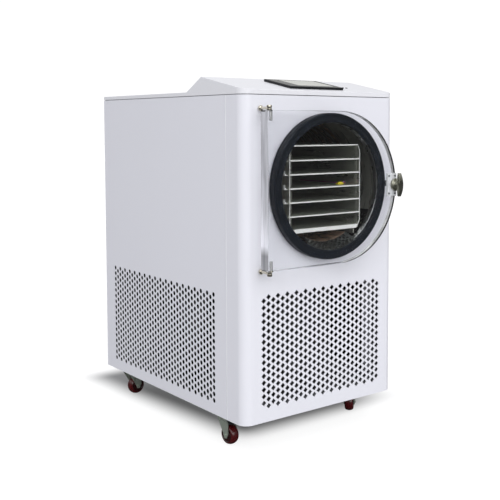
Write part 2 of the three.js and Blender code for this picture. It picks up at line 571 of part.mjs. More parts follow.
function buildHinges() {
  for (const [name, end] of [["upper", 1], ["lower", -1]]) {
    const edge = DOOR_RADIUS + COLLAR_CLEARANCE;
    const span = (a, b) => [a * end, b * end].sort((p, q) => p - q);
    const middle = edge + COLLAR_HEIGHT / 2;
    const collar = upright(rod(COLLAR_RADIUS, ...span(edge, edge + COLLAR_HEIGHT), 16))
      .translate(HINGE_X, HINGE_Y, 0);
    const post = turned([[0, HINGE_Y], [POST_RADIUS, HINGE_Y], [POST_RADIUS, -FIT - POST_FOOT_LENGTH],
      [POST_FOOT_RADIUS, -FIT - POST_FOOT_LENGTH], [POST_FOOT_RADIUS, -FIT], [0, -FIT]], 16)
      .translate(HINGE_X, 0, middle * end);
    const bore = upright(rod(PIN_RADIUS + FIT, ...span(edge - 1, edge + COLLAR_HEIGHT + 1), 16))
      .translate(HINGE_X, HINGE_Y, 0);
    const bracket = cut(join(collar, post), bore).translate(0, 0, DOOR_HEIGHT);
    add(`hinge_bracket_${name}`, bracket, [0xb5ae98, 0.25, 1]);
    const pin = upright(rod(PIN_RADIUS, ...span(DOOR_RADIUS - PIN_DEPTH, edge + COLLAR_HEIGHT), 16))
      .translate(HINGE_X, HINGE_Y, DOOR_HEIGHT);
    add(`hinge_pin_${name}`, pin, [0xc9c6b8, 0.2, 1]);
  }
}

function buildLatch() {
  const { inward, outward, height, thickness } = LATCH_BLOCK;
  const blockBack = DOOR_FRONT - FIT;
  const plate = cut(
    block([-inward, blockBack - thickness, -height / 2], [outward, blockBack, height / 2]),
    rod(SPINDLE_RADIUS + RUNNING, blockBack - thickness - 1, blockBack + 1, 16))
    .translate(LATCH_X, 0, LATCH_HEIGHT);
  add("latch_block", plate, [0xe4e7ea, 0.2, 0]);

  // turned spindle, hub and neck with the T-shaped grip, upright when the door is free
  const hubBack = BLOCK_FRONT - FIT;
  const spindleEnd = CAM_FRONT + CAM_THICKNESS + SPINDLE_END;
  const stem = turned([[0, spindleEnd], [SPINDLE_RADIUS, spindleEnd], [SPINDLE_RADIUS, hubBack],
    [HUB_RADIUS, hubBack], [HUB_RADIUS, hubBack - HUB_LENGTH],
    [NECK_RADIUS, hubBack - HUB_LENGTH - NECK_SINK],
    [NECK_RADIUS, HANDLE_BACK - NECK_SINK], [0, HANDLE_BACK - NECK_SINK]], 16);
  const half = HANDLE_LENGTH / 2;
  const grip = new THREE.Shape();
  grip.moveTo(-HANDLE_TIP / 2, -half);
  grip.lineTo(HANDLE_TIP / 2, -half);
  grip.quadraticCurveTo(HANDLE_WIDTH - HANDLE_TIP / 2, 0, HANDLE_TIP / 2, half);
  grip.lineTo(-HANDLE_TIP / 2, half);
  grip.quadraticCurveTo(HANDLE_TIP / 2 - HANDLE_WIDTH, 0, -HANDLE_TIP / 2, -half);
  const handle = join(stem, runBack(grip, HANDLE_FRONT, HANDLE_BACK, 8))
    .translate(LATCH_X, 0, LATCH_HEIGHT);
  add("latch_handle", handle, [0x77786a, 0.3, 1]);

  const camBore = SPINDLE_RADIUS + FIT;
  const cam = new THREE.Shape();
  cam.moveTo(-SPINDLE_RADIUS - CAM_RIM, 0);
  cam.absarc(0, 0, SPINDLE_RADIUS + CAM_RIM, Math.PI, 2 * Math.PI);
  const corner = Math.acos(SPINDLE_RADIUS / CAM_REACH);
  cam.absarc(0, 0, CAM_REACH, corner, Math.PI - corner);
  const tongue = cut(runBack(cam, CAM_FRONT, CAM_FRONT + CAM_THICKNESS),
    rod(camBore, CAM_FRONT - 1, CAM_FRONT + CAM_THICKNESS + 1, 16)).translate(LATCH_X, 0, LATCH_HEIGHT);
  add("latch_cam", tongue, [0x3b4044, 0.35, 1]);

  // hooked plate on the cabinet: the cam turns in behind its lip
  const side = KEEPER_SIDE;
  const lipFront = CAM_FRONT - LIP_GAP - KEEPER_SHEET;
  const lipEnd = LATCH_X - SPINDLE_RADIUS - CAM_RIM - FIT;
  const hook = outline([[side, -FIT], [side, lipFront], [lipEnd, lipFront],
    [lipEnd, lipFront + KEEPER_SHEET], [side + KEEPER_SHEET, lipFront + KEEPER_SHEET],
    [side + KEEPER_SHEET, -FIT - KEEPER_SHEET],
    [side + KEEPER_FOOT, -FIT - KEEPER_SHEET], [side + KEEPER_FOOT, -FIT]]);
  add("latch_keeper", raise(hook, LATCH_HEIGHT - KEEPER_HEIGHT / 2, LATCH_HEIGHT + KEEPER_HEIGHT / 2),
    [0x2c3036, 0.4, 1]);
}

// ---------- casters ----------
// Each caster is drawn with its wheel trailing along +x and its swivel axis on z, then turned.
function buildCasters() {
  const places = {
    front_left: [-1, CASTER_FRONT],
    front_right: [1, CASTER_FRONT],
    rear_left: [-1, CABINET_DEPTH - CASTER_REAR],
    rear_right: [1, CABINET_DEPTH - CASTER_REAR],
  };
  for (const [name, [side, y]] of Object.entries(places)) {
    const fixed = new THREE.Group();
    fixed.position.set(side * (HALF_WIDTH - CASTER_INSET), y, 0);
    machine.add(fixed);
    const swivel = new THREE.Group();
    swivel.rotation.z = THREE.MathUtils.degToRad(CASTER_HEADINGS[name]);
    fixed.add(swivel);
    buildCaster(name, fixed, swivel);
  }
}

function buildCaster(name, fixed, swivel) {
  const plateTop = CABINET_BOTTOM - FIT;
  const plateLow = plateTop - CASTER_PLATE.thickness;
  const { length, width } = CASTER_PLATE;
  const plate = join(
    block([-length / 2, -width / 2, plateLow], [length / 2, width / 2, plateTop]),
    upright(rod(BOSS_RADIUS, plateLow - BOSS_HEIGHT, plateLow + 1, 20)));
  add(`caster_plate_${name}`, plate, PLATED, fixed);

  const crownLow = FORK_CROWN_TOP - CROWN_THICKNESS;
  const cheekHalf = CROWN_RADIUS - CROWN_INSET;
  const knee = WHEEL_RADIUS + CHEEK_ABOVE_AXLE;
  const foot = WHEEL_RADIUS - CHEEK_BELOW_AXLE;
  const cheek = outline([[-cheekHalf, crownLow + 1], [cheekHalf, crownLow + 1],
    [CASTER_TRAIL + CHEEK_SHOULDER, PEDAL_PIVOT_HEIGHT], [CASTER_TRAIL + CHEEK_SHOULDER, knee],
    [CASTER_TRAIL + CHEEK_FOOT, foot], [CASTER_TRAIL - CHEEK_FOOT, foot],
    [CASTER_TRAIL - CHEEK_SHOULDER, knee]]);
  const inner = WHEEL_WIDTH / 2 + FORK_SIDE_GAP; // inside of a cheek
  const outer = inner + FORK_SHEET;
  const fork = join(
    upright(rod(CROWN_RADIUS, crownLow, FORK_CROWN_TOP, 20)),
    runBack(cheek, inner, outer),
    runBack(cheek, -outer, -inner),
    rod(AXLE_RADIUS, -outer - AXLE_HEAD, outer + AXLE_HEAD, 12).translate(CASTER_TRAIL, 0, WHEEL_RADIUS));
  add(`caster_fork_${name}`, fork, PLATED, swivel);

  const half = WHEEL_WIDTH / 2;
  const bore = AXLE_RADIUS + RUNNING;
  const shoulder = WHEEL_RADIUS - TREAD_ROUND;
  const wheel = turned([[bore, -half], [shoulder, -half], [WHEEL_RADIUS, TREAD_ROUND - half],
    [WHEEL_RADIUS, half - TREAD_ROUND], [shoulder, half], [bore, half]], 28)
    .translate(CASTER_TRAIL, 0, WHEEL_RADIUS);
  add(`caster_wheel_${name}`, wheel, [0x6a1414, 0.4, 0], swivel);

  if (!CASTERS_WITH_BRAKE.includes(name)) return;
  const start = CASTER_TRAIL + PEDAL_START;
  const mid = PEDAL_PIVOT_HEIGHT;
  const pedal = outline([[start, mid - PEDAL_HALF], [start + PEDAL_ROOT, mid - PEDAL_HALF],
    [start + PEDAL_LENGTH, mid + PEDAL_HALF], [start + PEDAL_LENGTH, mid + 2 * PEDAL_HALF],
    [start + PEDAL_ROOT, mid + PEDAL_HALF], [start, mid + PEDAL_HALF]]);
  add(`caster_pedal_${name}`, runBack(pedal, FIT - inner, inner - FIT), [0x1c1a1b, 0.5, 0], swivel);
}

// ---------- cooling unit ----------
function buildCoolingUnit() {
  const floor = TRAY_TOP + FIT;
  const top = RADIATOR_TOP;
  const radLeft = RADIATOR.x - RADIATOR.width / 2;
  const radRight = RADIATOR.x + RADIATOR.width / 2;
  const core = block([radLeft, RADIATOR_FRONT, floor],
    [radRight, RADIATOR_FRONT + RADIATOR.thickness, top]);
  add("radiator", core, [0x8d9196, 0.5, 0.8]);

  const shroudBack = SHROUD_FRONT + SHROUD_LENGTH;
  const fanX = RADIATOR.x;
  const fanZ = (floor + top) / 2;
  const openingRadius = Math.min(RADIATOR.width, top - floor) / 2 - SHROUD_RIM;
  const shroud = cut(
    block([radLeft, SHROUD_FRONT, floor], [radRight, shroudBack, top]),
    block([radLeft + SHROUD_SHEET, SHROUD_FRONT - 1, floor + SHROUD_SHEET],
      [radRight - SHROUD_SHEET, shroudBack - SHROUD_SHEET, top - SHROUD_SHEET]),
    rod(openingRadius, shroudBack - SHROUD_SHEET - 1, shroudBack + 1, 32).translate(fanX, 0, fanZ));
  add("fan_shroud", shroud, [0x2a2c2f, 0.6, 0.3]);

  const motorFront = shroudBack + FIT;
  const bar = block([radLeft, motorFront, fanZ - MOTOR_BAR / 2],
    [radRight, motorFront + SHROUD_SHEET, fanZ + MOTOR_BAR / 2]);
  const motor = rod(MOTOR_RADIUS, motorFront, motorFront + MOTOR_LENGTH, 20).translate(fanX, 0, fanZ);
  add("fan_motor", join(bar, motor), [0x303236, 0.5, 0.5]);

  const fan = new THREE.Group();
  fan.position.set(fanX, motorFront - FIT - FAN_HUB_LENGTH, fanZ);
  machine.add(fan);
  const hub = rod(FAN_HUB_RADIUS, 0, FAN_HUB_LENGTH, 20);
  const blades = Array.from({ length: FAN_BLADES }, (_, i) =>
    block([-BLADE_CHORD / 2, -BLADE_THICKNESS / 2, FAN_HUB_RADIUS - BLADE_ROOT],
      [BLADE_CHORD / 2, BLADE_THICKNESS / 2, openingRadius - FAN_TIP_GAP])
      .rotateZ(THREE.MathUtils.degToRad(FAN_PITCH))
      .translate(0, FAN_HUB_LENGTH / 2, 0)
      .rotateY((2 * Math.PI * i) / FAN_BLADES));
  add("fan", join(hub, ...blades), [0x22252a, 0.5, 0.2], fan);

  const { x, y, radius, height } = COMPRESSOR;
  const shell = upright(turned([[0, 0], [radius - SHELL_FOOT.inset, 0], [radius, SHELL_FOOT.height],
    [radius, height - SHELL_DOME.start], [radius - SHELL_DOME.inset, height - SHELL_DOME.height],
    [COMPRESSOR.top, height], [0, height]], 28)).translate(x, y, floor);
  add("compressor", shell, [0x1b1c1e, 0.5, 0.4]);

  const left = CONTROL_BOX.side - HALF_WIDTH;
  const back = CABINET_DEPTH - CONTROL_BOX.back;
  add("control_box", block([left, back - CONTROL_BOX.depth, floor],
    [left + CONTROL_BOX.width, back, floor + CONTROL_BOX.height]), [0xb9bcc2, 0.5, 0.2]);
}

// ---------- fittings on the rear ----------
function buildRearFittings() {
  const face = CABINET_DEPTH + FIT;
  const end = CABINET_DEPTH + REAR_REACH;
  const { radius, neck, base, baseThickness, lip, taper } = PORT;
  const port = turned([[0, face], [base, face], [base, face + baseThickness],
    [neck, face + baseThickness + taper], [neck, end - lip - taper], [radius, end - lip], [radius, end],
    [0, end]], 24).translate(0, 0, CABINET_BOTTOM + PORT.rise);
  add("vacuum_port", port, STAINLESS);
  const pipeRun = ring(neck - PIPE_WALL, neck, BARREL_LENGTH + FIT, INNER_BACK, 20)
    .translate(0, 0, CABINET_BOTTOM + PORT.rise);
  add("vacuum_pipe", pipeRun, STAINLESS);

  const { x, rise, width, tall, depth, rim, recess } = INLET;
  const low = CABINET_BOTTOM + rise;
  const inlet = cut(block([x - width / 2, face, low], [x + width / 2, face + depth, low + tall]),
    block([x - width / 2 + rim, face + depth - recess, low + rim],
      [x + width / 2 - rim, face + depth + 1, low + tall - rim]));
  add("power_inlet", inlet, [0x141517, 0.5, 0]);
}

buildCabinet();
buildFrame();
buildLid();
buildConsole();
buildChamber();
buildDoor();
buildHinges();
buildLatch();
buildCasters();
buildCoolingUnit();
buildRearFittings();

// The origin is under the middle of the whole machine, from the latch handle to the rear fittings.
machine.position.y = -(HANDLE_FRONT + CABINET_DEPTH + REAR_REACH) / 2;
const part = new THREE.Group();
part.add(machine);

export default part;
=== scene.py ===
from math import atan2, cos, hypot, pi, radians, sin, tan

import bmesh
import bpy
from mathutils import Matrix, Vector


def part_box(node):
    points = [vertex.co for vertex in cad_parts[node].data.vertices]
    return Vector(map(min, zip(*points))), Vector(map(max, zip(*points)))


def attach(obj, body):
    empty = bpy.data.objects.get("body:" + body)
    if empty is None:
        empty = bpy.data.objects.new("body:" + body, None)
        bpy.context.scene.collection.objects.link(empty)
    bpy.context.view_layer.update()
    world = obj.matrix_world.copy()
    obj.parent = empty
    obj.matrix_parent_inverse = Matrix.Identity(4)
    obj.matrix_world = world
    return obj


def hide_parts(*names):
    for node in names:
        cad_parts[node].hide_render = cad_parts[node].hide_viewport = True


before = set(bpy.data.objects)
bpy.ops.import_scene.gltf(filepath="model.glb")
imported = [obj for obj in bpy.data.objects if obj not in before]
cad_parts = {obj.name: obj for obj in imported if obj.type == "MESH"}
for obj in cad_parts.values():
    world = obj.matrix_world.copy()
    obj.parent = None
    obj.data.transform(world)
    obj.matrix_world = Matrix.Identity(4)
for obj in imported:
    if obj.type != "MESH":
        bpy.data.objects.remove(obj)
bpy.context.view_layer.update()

# ------------------------ camera and studio
# The machine stands on a white floor in a soft white room, with a wide lamp high in front.
# The floor glows by itself, and its shadow under the tray is a painted shadow, kept light and close
# to the tray's edges. For reflections the room is darker near the ground, so that metal and clear
# plastic keep their contrast.


def placed(name, data):
    """A new object in the scene."""
    obj = bpy.data.objects.new(name, data)
    bpy.context.scene.collection.objects.link(obj)
    return obj


camera = placed("camera", bpy.data.cameras.new("camera"))
camera.data.lens = 62.6
camera.data.sensor_width = 36
camera.data.shift_x = -0.089
camera.data.shift_y = -0.127
camera.data.clip_end = 100
camera.location = (-1.434, -2.003, 0.808)
camera.rotation_euler = (radians(90 - 4.05), 0, radians(-38.66))
bpy.context.scene.camera = camera
bpy.context.scene.view_settings.view_transform = "Standard"


def paint(name, color, rough=0.5, metal=0.0, **sockets):
    """A new material and its shader, with plain values on the shader's own sockets."""
    material = bpy.data.materials.new(name)
    material.use_nodes = True
    shader = material.node_tree.nodes["Principled BSDF"]
    shader.inputs["Base Color"].default_value = (*color, 1)
    shader.inputs["Roughness"].default_value = rough
    shader.inputs["Metallic"].default_value = metal
    for socket, value in sockets.items():
        shader.inputs[socket.replace("_", " ")].default_value = value
    return material, shader


def made(tree, kind, inputs=None, **settings):
    """One node: first its settings, then its inputs, each a value or another node's output."""
    node = tree.nodes.new(kind)
    for key, value in settings.items():
        setattr(node, key, value)
    for socket, value in (inputs or {}).items():
        if isinstance(value, bpy.types.NodeSocket):
            tree.links.new(value, node.inputs[socket])
        else:
            node.inputs[socket].default_value = value
    return node


def counted(tree, kind, *values):
    """The result of one maths node."""
    return made(tree, "ShaderNodeMath", dict(enumerate(values)), operation=kind).outputs[0]


def ranged(tree, value, *ends, ease="LINEAR"):
    """A value carried over to another range, given by its old ends and then its new ones."""
    inputs = {"Value": value, **dict(zip(("From Min", "From Max", "To Min", "To Max"), ends))}
    return made(tree, "ShaderNodeMapRange", inputs, interpolation_type=ease).outputs["Result"]


def ramped(tree, value, stops, tint=(1, 1, 1), ease="LINEAR"):
    """A tone from a ramp, whose stops are places with their tones, in a tint."""
    node = made(tree, "ShaderNodeValToRGB", {"Fac": value})
    node.color_ramp.interpolation = ease
    for _ in stops[2:]:
        node.color_ramp.elements.new(0.5)
    for stop, (place, tone) in zip(node.color_ramp.elements, stops):
        stop.position = place
        stop.color = (*[tone * t for t in tint], 1)
    return node.outputs["Color"]


def coordinates(tree, kind="Object"):
    return made(tree, "ShaderNodeTexCoord").outputs[kind]


def axes(tree, vector):
    """The X, Y and Z of a vector."""
    return made(tree, "ShaderNodeSeparateXYZ", {0: vector}).outputs


def mixed(tree, factor, first, second):
    """One shader, or the other where the factor is one."""
    return made(tree, "ShaderNodeMixShader", {"Fac": factor, 1: first, 2: second}).outputs[0]


def seen_straight(tree, rays, most):
    """One for rays that have only passed through clear plastic on their way from the camera."""
    kind = counted(tree, "MAXIMUM", rays["Is Camera Ray"], rays["Is Transmission Ray"])
    turns = counted(tree, "SUBTRACT", rays["Ray Depth"], rays["Transmission Depth"])
    return counted(tree, "MULTIPLY", kind, counted(tree, "LESS_THAN", turns, most))


def seen_mirrored(tree, rays):
    """One for rays that were reflected sharply and never scattered."""
    scattered = counted(tree, "MULTIPLY", rays["Diffuse Depth"], 10)
    return counted(tree, "GREATER_THAN", counted(tree, "SUBTRACT", rays["Glossy Depth"], scattered), 0.5)


FLOOR = 30
floor_mesh = bpy.data.meshes.new("floor")
floor_mesh.from_pydata([(-FLOOR, -FLOOR, 0), (FLOOR, -FLOOR, 0), (FLOOR, FLOOR, 0), (-FLOOR, FLOOR, 0)],
                       [], [(0, 1, 2, 3)])
floor = placed("floor", floor_mesh)
floor_white, _ = paint("floor_white", (0.93, 0.93, 0.93), 0.9)
floor_mesh.materials.append(floor_white)
tree = floor_white.node_tree
spot = axes(tree, coordinates(tree))
# Painted shadow: the floor's own glow fades from white to dark grey in a box under the machine, one side leaning a
# little.
slanted = counted(tree, "MULTIPLY_ADD", spot["Y"], 0.08, spot["X"])
painted_shadow = 1
for value, none, full in ((slanted, -0.239, -0.123), (spot["X"], 0.46, 0.22),
                          (spot["Y"], -0.25, -0.135), (spot["Y"], 0.61, 0.50)):
    painted_shadow = counted(tree, "MULTIPLY", painted_shadow, ranged(tree, value, none, full, ease="SMOOTHSTEP"))
glow_with_painted_shadow = made(tree, "ShaderNodeEmission", {"Strength": ranged(tree, painted_shadow, 0, 1, 0.86, 0.08)})
matt = made(tree, "ShaderNodeBsdfDiffuse", {"Color": (0.22, 0.22, 0.22, 1)})
look = made(tree, "ShaderNodeAddShader", {0: glow_with_painted_shadow.outputs[0], 1: matt.outputs[0]})
rays = made(tree, "ShaderNodeLightPath").outputs
dim = made(tree, "ShaderNodeMix", {"Factor": seen_mirrored(tree, rays), 6: (0.45, 0.45, 0.45, 1),
                                   7: (0.08, 0.08, 0.08, 1)}, data_type="RGBA")
bounce = made(tree, "ShaderNodeBsdfDiffuse", {"Color": dim.outputs[2]})
tree.links.new(mixed(tree, seen_straight(tree, rays, 0.5), bounce.outputs[0], look.outputs[0]),
               tree.nodes["Material Output"].inputs["Surface"])


def lamp(name, kind, energy, place, aim, **settings):
    data = bpy.data.lights.new(name, kind)
    data.energy = energy
    for key, value in settings.items():
        setattr(data, key, value)
    light = placed(name, data)
    light.location = place
    light.rotation_euler = (Vector(aim) - Vector(place)).to_track_quat("-Z", "Y").to_euler()


lamp("high_front", "SUN", 1.25, (-0.2, -1.2, 0.75), (0, 0, 0), angle=radians(60))
lamp("softbox", "AREA", 7, (-2.2, -1.6, 1.9), (0, -0.3, 0.6), shape="RECTANGLE", size=0.5, size_y=1.6)

world = bpy.data.worlds.new("room")
world.use_nodes = True
bpy.context.scene.world = world
tree = world.node_tree
background = tree.nodes["Background"]
background.inputs["Color"].default_value = (0.955, 0.965, 1, 1)
way = axes(tree, coordinates(tree, "Generated"))
across = counted(tree, "ADD", counted(tree, "MULTIPLY", way["X"], 0.5), 0.5)
tree.links.new(ramped(tree, across, ((0.0, 0.77), (0.5, 1.12), (1.0, 0.47)), ease="EASE"),
               background.inputs["Strength"])
height = ranged(tree, way["Z"], 0.12, 0.45, 0.10, 1.0, ease="SMOOTHSTEP")
mirrored = made(tree, "ShaderNodeBackground", {"Strength": height})
seen = made(tree, "ShaderNodeBackground", {"Strength": 1.05, "Color": (1, 1, 1, 1)})
rays = made(tree, "ShaderNodeLightPath").outputs
gloss = mixed(tree, seen_mirrored(tree, rays), background.outputs[0], mirrored.outputs[0])
tree.links.new(mixed(tree, seen_straight(tree, rays, 1.5), gloss, seen.outputs[0]),
               tree.nodes["World Output"].inputs["Surface"])

# ------------------------ front cover
# One thin sheet of steel that wraps round both front edges on a wide roll, with the round hole
# for the chamber and a field of punched diamond holes. Powder coated white, screwed from inside.


def corners(node):
    """The low and the high corner of a CAD node's box."""
    low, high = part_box(node)
    return Vector(low), Vector(high)


def middle(low, high):
    return [(a + b) / 2 for a, b in zip(low, high)]


def new_tree(name, kind, inputs, outputs):
    """A node tree and its inputs. A socket has a name, a kind and, if need be, a value."""
    tree = bpy.data.node_groups.new(name, kind)
    for way, rows in (("INPUT", inputs), ("OUTPUT", outputs)):
        for label, socket_kind, *value in rows:
            socket = tree.interface.new_socket(label, in_out=way, socket_type="NodeSocket" + socket_kind)
            if value:
                socket.default_value = value[0]
    return tree, made(tree, "NodeGroupInput").outputs


def stretched(tree, by):
    """Object coordinates, stretched along each axis."""
    return made(tree, "ShaderNodeVectorMath", {0: coordinates(tree), 1: by}, operation="MULTIPLY").outputs[0]


def noise(tree, vector, scale, detail=2.0):
    return made(tree, "ShaderNodeTexNoise", {"Vector": vector, "Scale": scale, "Detail": detail}).outputs["Fac"]


def scaled(tree, color, factor):
    """A colour made lighter or darker by a factor."""
    return made(tree, "ShaderNodeVectorMath", {0: color, "Scale": factor}, operation="SCALE").outputs[0]


def surface_grain():
    """Fine relief and slow drift of tone, used by paint, rubber, castings and plastics alike."""
    tree, given = new_tree(
        "surface_grain", "ShaderNodeTree",
        (("Color", "Color", (1, 1, 1, 1)), ("Roughness", "Float", 0.5), ("Relief Scale", "Float", 900.0),
         ("Relief Depth", "Float", 0.00002), ("Drift", "Float", 0.03), ("Drift Scale", "Float", 6.0),
         ("Stretch", "Vector", (1, 1, 1))),
        (("Color", "Color"), ("Roughness", "Float"), ("Normal", "Vector")))
    drawn = stretched(tree, given["Stretch"])
    bump = made(tree, "ShaderNodeBump", {"Distance": given["Relief Depth"],
                                         "Height": noise(tree, drawn, given["Relief Scale"], 3)})
    slow = noise(tree, drawn, given["Drift Scale"], 4)
    amount = counted(tree, "MULTIPLY", counted(tree, "SUBTRACT", slow, 0.5), given["Drift"])
    made(tree, "NodeGroupOutput",
         {"Color": scaled(tree, given["Color"], counted(tree, "ADD", amount, 1)),
          "Roughness": counted(tree, "MULTIPLY_ADD", amount, 1.5, given["Roughness"]),
          "Normal": bump.outputs["Normal"]})
    return tree


grain = surface_grain()


def grained(name, color, rough, metal=0.0, relief=(900, 0.00002), drift=(0.06, 6), stretch=(1, 1, 1), **sockets):
    """A material from the grain group: relief is its scale and depth, drift its amount and scale."""
    material, shader = paint(name, color, rough, metal, **sockets)
    tree = material.node_tree
    use = made(tree, "ShaderNodeGroup", {"Color": (*color, 1), "Roughness": rough, "Drift": drift[0],
                                         "Drift Scale": drift[1], "Stretch": stretch}, node_tree=grain)
    tree.links.new(use.outputs["Color"], shader.inputs["Base Color"])
    tree.links.new(use.outputs["Roughness"], shader.inputs["Roughness"])
    if relief:
        use.inputs["Relief Scale"].default_value, use.inputs["Relief Depth"].default_value = relief
        tree.links.new(use.outputs["Normal"], shader.inputs["Normal"])
    return material


def meshed(bm):
    mesh = bpy.data.meshes.new("shape")
    bm.to_mesh(mesh)
    bm.free()
    return mesh


def closed(bm):
    """The finished mesh, its doubles merged and its faces turned outwards."""
    bmesh.ops.remove_doubles(bm, verts=bm.verts, dist=1e-6)
    bmesh.ops.recalc_face_normals(bm, faces=bm.faces)
    return meshed(bm)


def skinned(rings):
    """A closed skin over rings that have as many points each, with flat ends."""
    bm = bmesh.new()
    rings = [[bm.verts.new(point) for point in ring] for ring in rings]
    bm.faces.new(rings[0])
    bm.faces.new(rings[-1])
    for a, b in zip(rings, rings[1:]):
        for i in range(len(a)):
            j = (i + 1) % len(a)
            bm.faces.new((a[i], a[j], b[j], b[i]))
    return closed(bm)


def prism(outline, low, high, along="Z"):
    """An outline pulled along an axis: (x, y) up Z, (x, z) back along Y, or (y, z) across X."""
    order = {"Z": (0, 1, 2), "Y": (0, 2, 1), "X": (2, 0, 1)}[along]
    return skinned([[[(a, b, h)[i] for i in order] for a, b in outline] for h in (low, high)])


def lathe(profile, centre, along="Y", segments=96):
    """A turned shape: the profile lists (radius, distance along the axis from the centre)."""
    bm = bmesh.new()
    turn = {"Y": Matrix(((1, 0, 0), (0, 0, 1), (0, 1, 0))), "Z": Matrix.Identity(3)}[along]
    rings = []
    for radius, height in profile:
        steps = segments if radius > 1e-7 else 1
        rings.append([bm.verts.new(turn @ Vector((radius * cos(2 * pi * k / segments),
                                                  radius * sin(2 * pi * k / segments), height))
                                   + Vector(centre)) for k in range(steps)])
    pairs = list(zip(rings, rings[1:]))
    if len(rings[0]) > 1 and len(rings[-1]) > 1:
        pairs.append((rings[-1], rings[0]))
    for a, b in pairs:
        for k in range(segments):
            loop = [a[k % len(a)], a[(k + 1) % len(a)], b[(k + 1) % len(b)], b[k % len(b)]]
            loop = [v for i, v in enumerate(loop) if v not in loop[:i]]
            if len(loop) > 2:
                bm.faces.new(loop)
    return closed(bm)


def pipe(inner, outer, low, high, centre, along="Y", segments=96):
    """A plain turned tube, or a solid rod where the inner radius is zero."""
    return lathe([(inner, low), (outer, low), (outer, high), (inner, high)], centre, along, segments)


def evaluated(obj):
    """What an object's modifiers make of its mesh, as a plain mesh."""
    bpy.context.view_layer.update()
    return bpy.data.meshes.new_from_object(obj.evaluated_get(bpy.context.evaluated_depsgraph_get()))


def carved(mesh, *tools, how="DIFFERENCE"):
    """A mesh with other closed meshes cut out of it, or cut down to what it shares with them."""
    held = placed("held", mesh)
    cutters = [placed("cutter", tool) for tool in tools]
    for cutter in cutters:
        step = held.modifiers.new("cut", "BOOLEAN")
        step.object = cutter
        step.operation = how
        step.solver = "EXACT"
    result = evaluated(held)
    for obj in (held, *cutters):
        bpy.data.objects.remove(obj)
    return result


def piece(name, mesh, material, slot, nodes=(), body="cabinet", bevel=0.0, steps=2, angle=35):
    """A finished piece: edges eased, shading smoothed up to an angle, riding on its body."""
    obj = placed(name, mesh)
    mesh.shade_smooth()
    mesh.set_sharp_from_angle(angle=radians(angle))
    if bevel:
        ease = obj.modifiers.new("ease", "BEVEL")
        ease.width = bevel
        ease.segments = steps
        ease.limit_method = "ANGLE"
        ease.angle_limit = radians(angle)
        ease.miter_outer = "MITER_ARC"
    obj.modifiers.new("weigh", "WEIGHTED_NORMAL").keep_sharp = True
    plain = evaluated(obj)
    obj.modifiers.clear()
    obj.data = plain
    plain.name = name
    plain.materials.clear()
    plain.materials.append(material)
    if nodes:
        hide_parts(*nodes)
    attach(obj, body)
    return obj


def scattered(tree, points, item, given):
    """Copies of an item on points, turned and carried to their place, as real geometry."""
    spread = made(tree, "GeometryNodeInstanceOnPoints", {"Points": points, "Instance": item})
    settle = made(tree, "GeometryNodeTransform", {"Geometry": spread.outputs[0], "Rotation": given["Turn"],
                                                  "Translation": given["Centre"]})
    return made(tree, "GeometryNodeRealizeInstances", {0: settle.outputs[0]}).outputs[0]


def given_out(tree, geometry, given):
    """The end of a geometry tree: the material goes on and the geometry out."""
    coat = made(tree, "GeometryNodeSetMaterial", {"Geometry": geometry, "Material": given["Material"]})
    made(tree, "NodeGroupOutput", {"Geometry": coat.outputs[0]})
    return tree


def vent_tree():
    """Rows of holes, every other column half a step lower, cut through a sheet."""
    tree, given = new_tree(
        "vent_holes", "GeometryNodeTree",
        (("Geometry", "Geometry"), ("Outer Columns", "Int"), ("Outer Rows", "Int"), ("Inner Rows", "Int"),
         ("Column Pitch", "Float"), ("Row Pitch", "Float"), ("Hole Radius", "Float"), ("Cut Depth", "Float"),
         ("Centre", "Vector"), ("Turn", "Rotation"), ("Hole Sides", "Int"), ("Material", "Material")),
        (("Geometry", "Geometry"),))
    double = counted(tree, "MULTIPLY", given["Column Pitch"], 2)
    both = made(tree, "GeometryNodeJoinGeometry")
    for columns, rows in ((given["Outer Columns"], given["Outer Rows"]),
                          (counted(tree, "SUBTRACT", given["Outer Columns"], 1), given["Inner Rows"])):
        width, depth = [counted(tree, "MULTIPLY", counted(tree, "SUBTRACT", count, 1), pitch)
                        for count, pitch in ((columns, double), (rows, given["Row Pitch"]))]
        lattice = made(tree, "GeometryNodeMeshGrid", {"Vertices X": columns, "Vertices Y": rows,
                                                      "Size X": width, "Size Y": depth})
        tree.links.new(lattice.outputs["Mesh"], both.inputs[0])
    punch = made(tree, "GeometryNodeMeshCylinder", {"Vertices": given["Hole Sides"], "Depth": given["Cut Depth"],
                                                    "Radius": given["Hole Radius"]})
    holes = scattered(tree, both.outputs[0], punch.outputs["Mesh"], given)
    cut = made(tree, "GeometryNodeMeshBoolean", {"Mesh 1": given["Geometry"], "Mesh 2": holes},
               operation="DIFFERENCE", solver="EXACT")
    return given_out(tree, cut.outputs["Mesh"], given)


vents = vent_tree()


def through_tree(tree, mesh, **values):
    """What a geometry tree makes of a mesh, as a plain mesh. Inputs are given by their names."""
    held = placed("held", mesh)
    step = held.modifiers.new("tree", "NODES")
    step.node_group = tree
    for item in tree.interface.items_tree:
        label = item.name.replace(" ", "_")
        if item.in_out == "INPUT" and label in values:
            step[item.identifier] = values[label]
    result = evaluated(held)
    bpy.data.objects.remove(held)
    return result


def punched(sheet, columns, rows, inner_rows, pitch, radius, sides, centre, turn, coat):
    """A sheet with a field of holes: full columns, and between them columns of inner_rows."""
    return through_tree(vents, sheet, Outer_Columns=columns, Outer_Rows=rows, Inner_Rows=inner_rows,
                        Column_Pitch=pitch[0], Row_Pitch=pitch[1], Hole_Radius=radius, Hole_Sides=sides,
                        Cut_Depth=0.01, Centre=centre, Turn=turn, Material=coat)


def arc(centre, radii, start, stop, steps):
    """Points on a bend from one angle in degrees to another, with a radius along each axis."""
    turns = [radians(start + (stop - start) * k / steps) for k in range(steps + 1)]
    return [(centre[0] + radii[0] * cos(t), centre[1] + radii[1] * sin(t)) for t in turns]


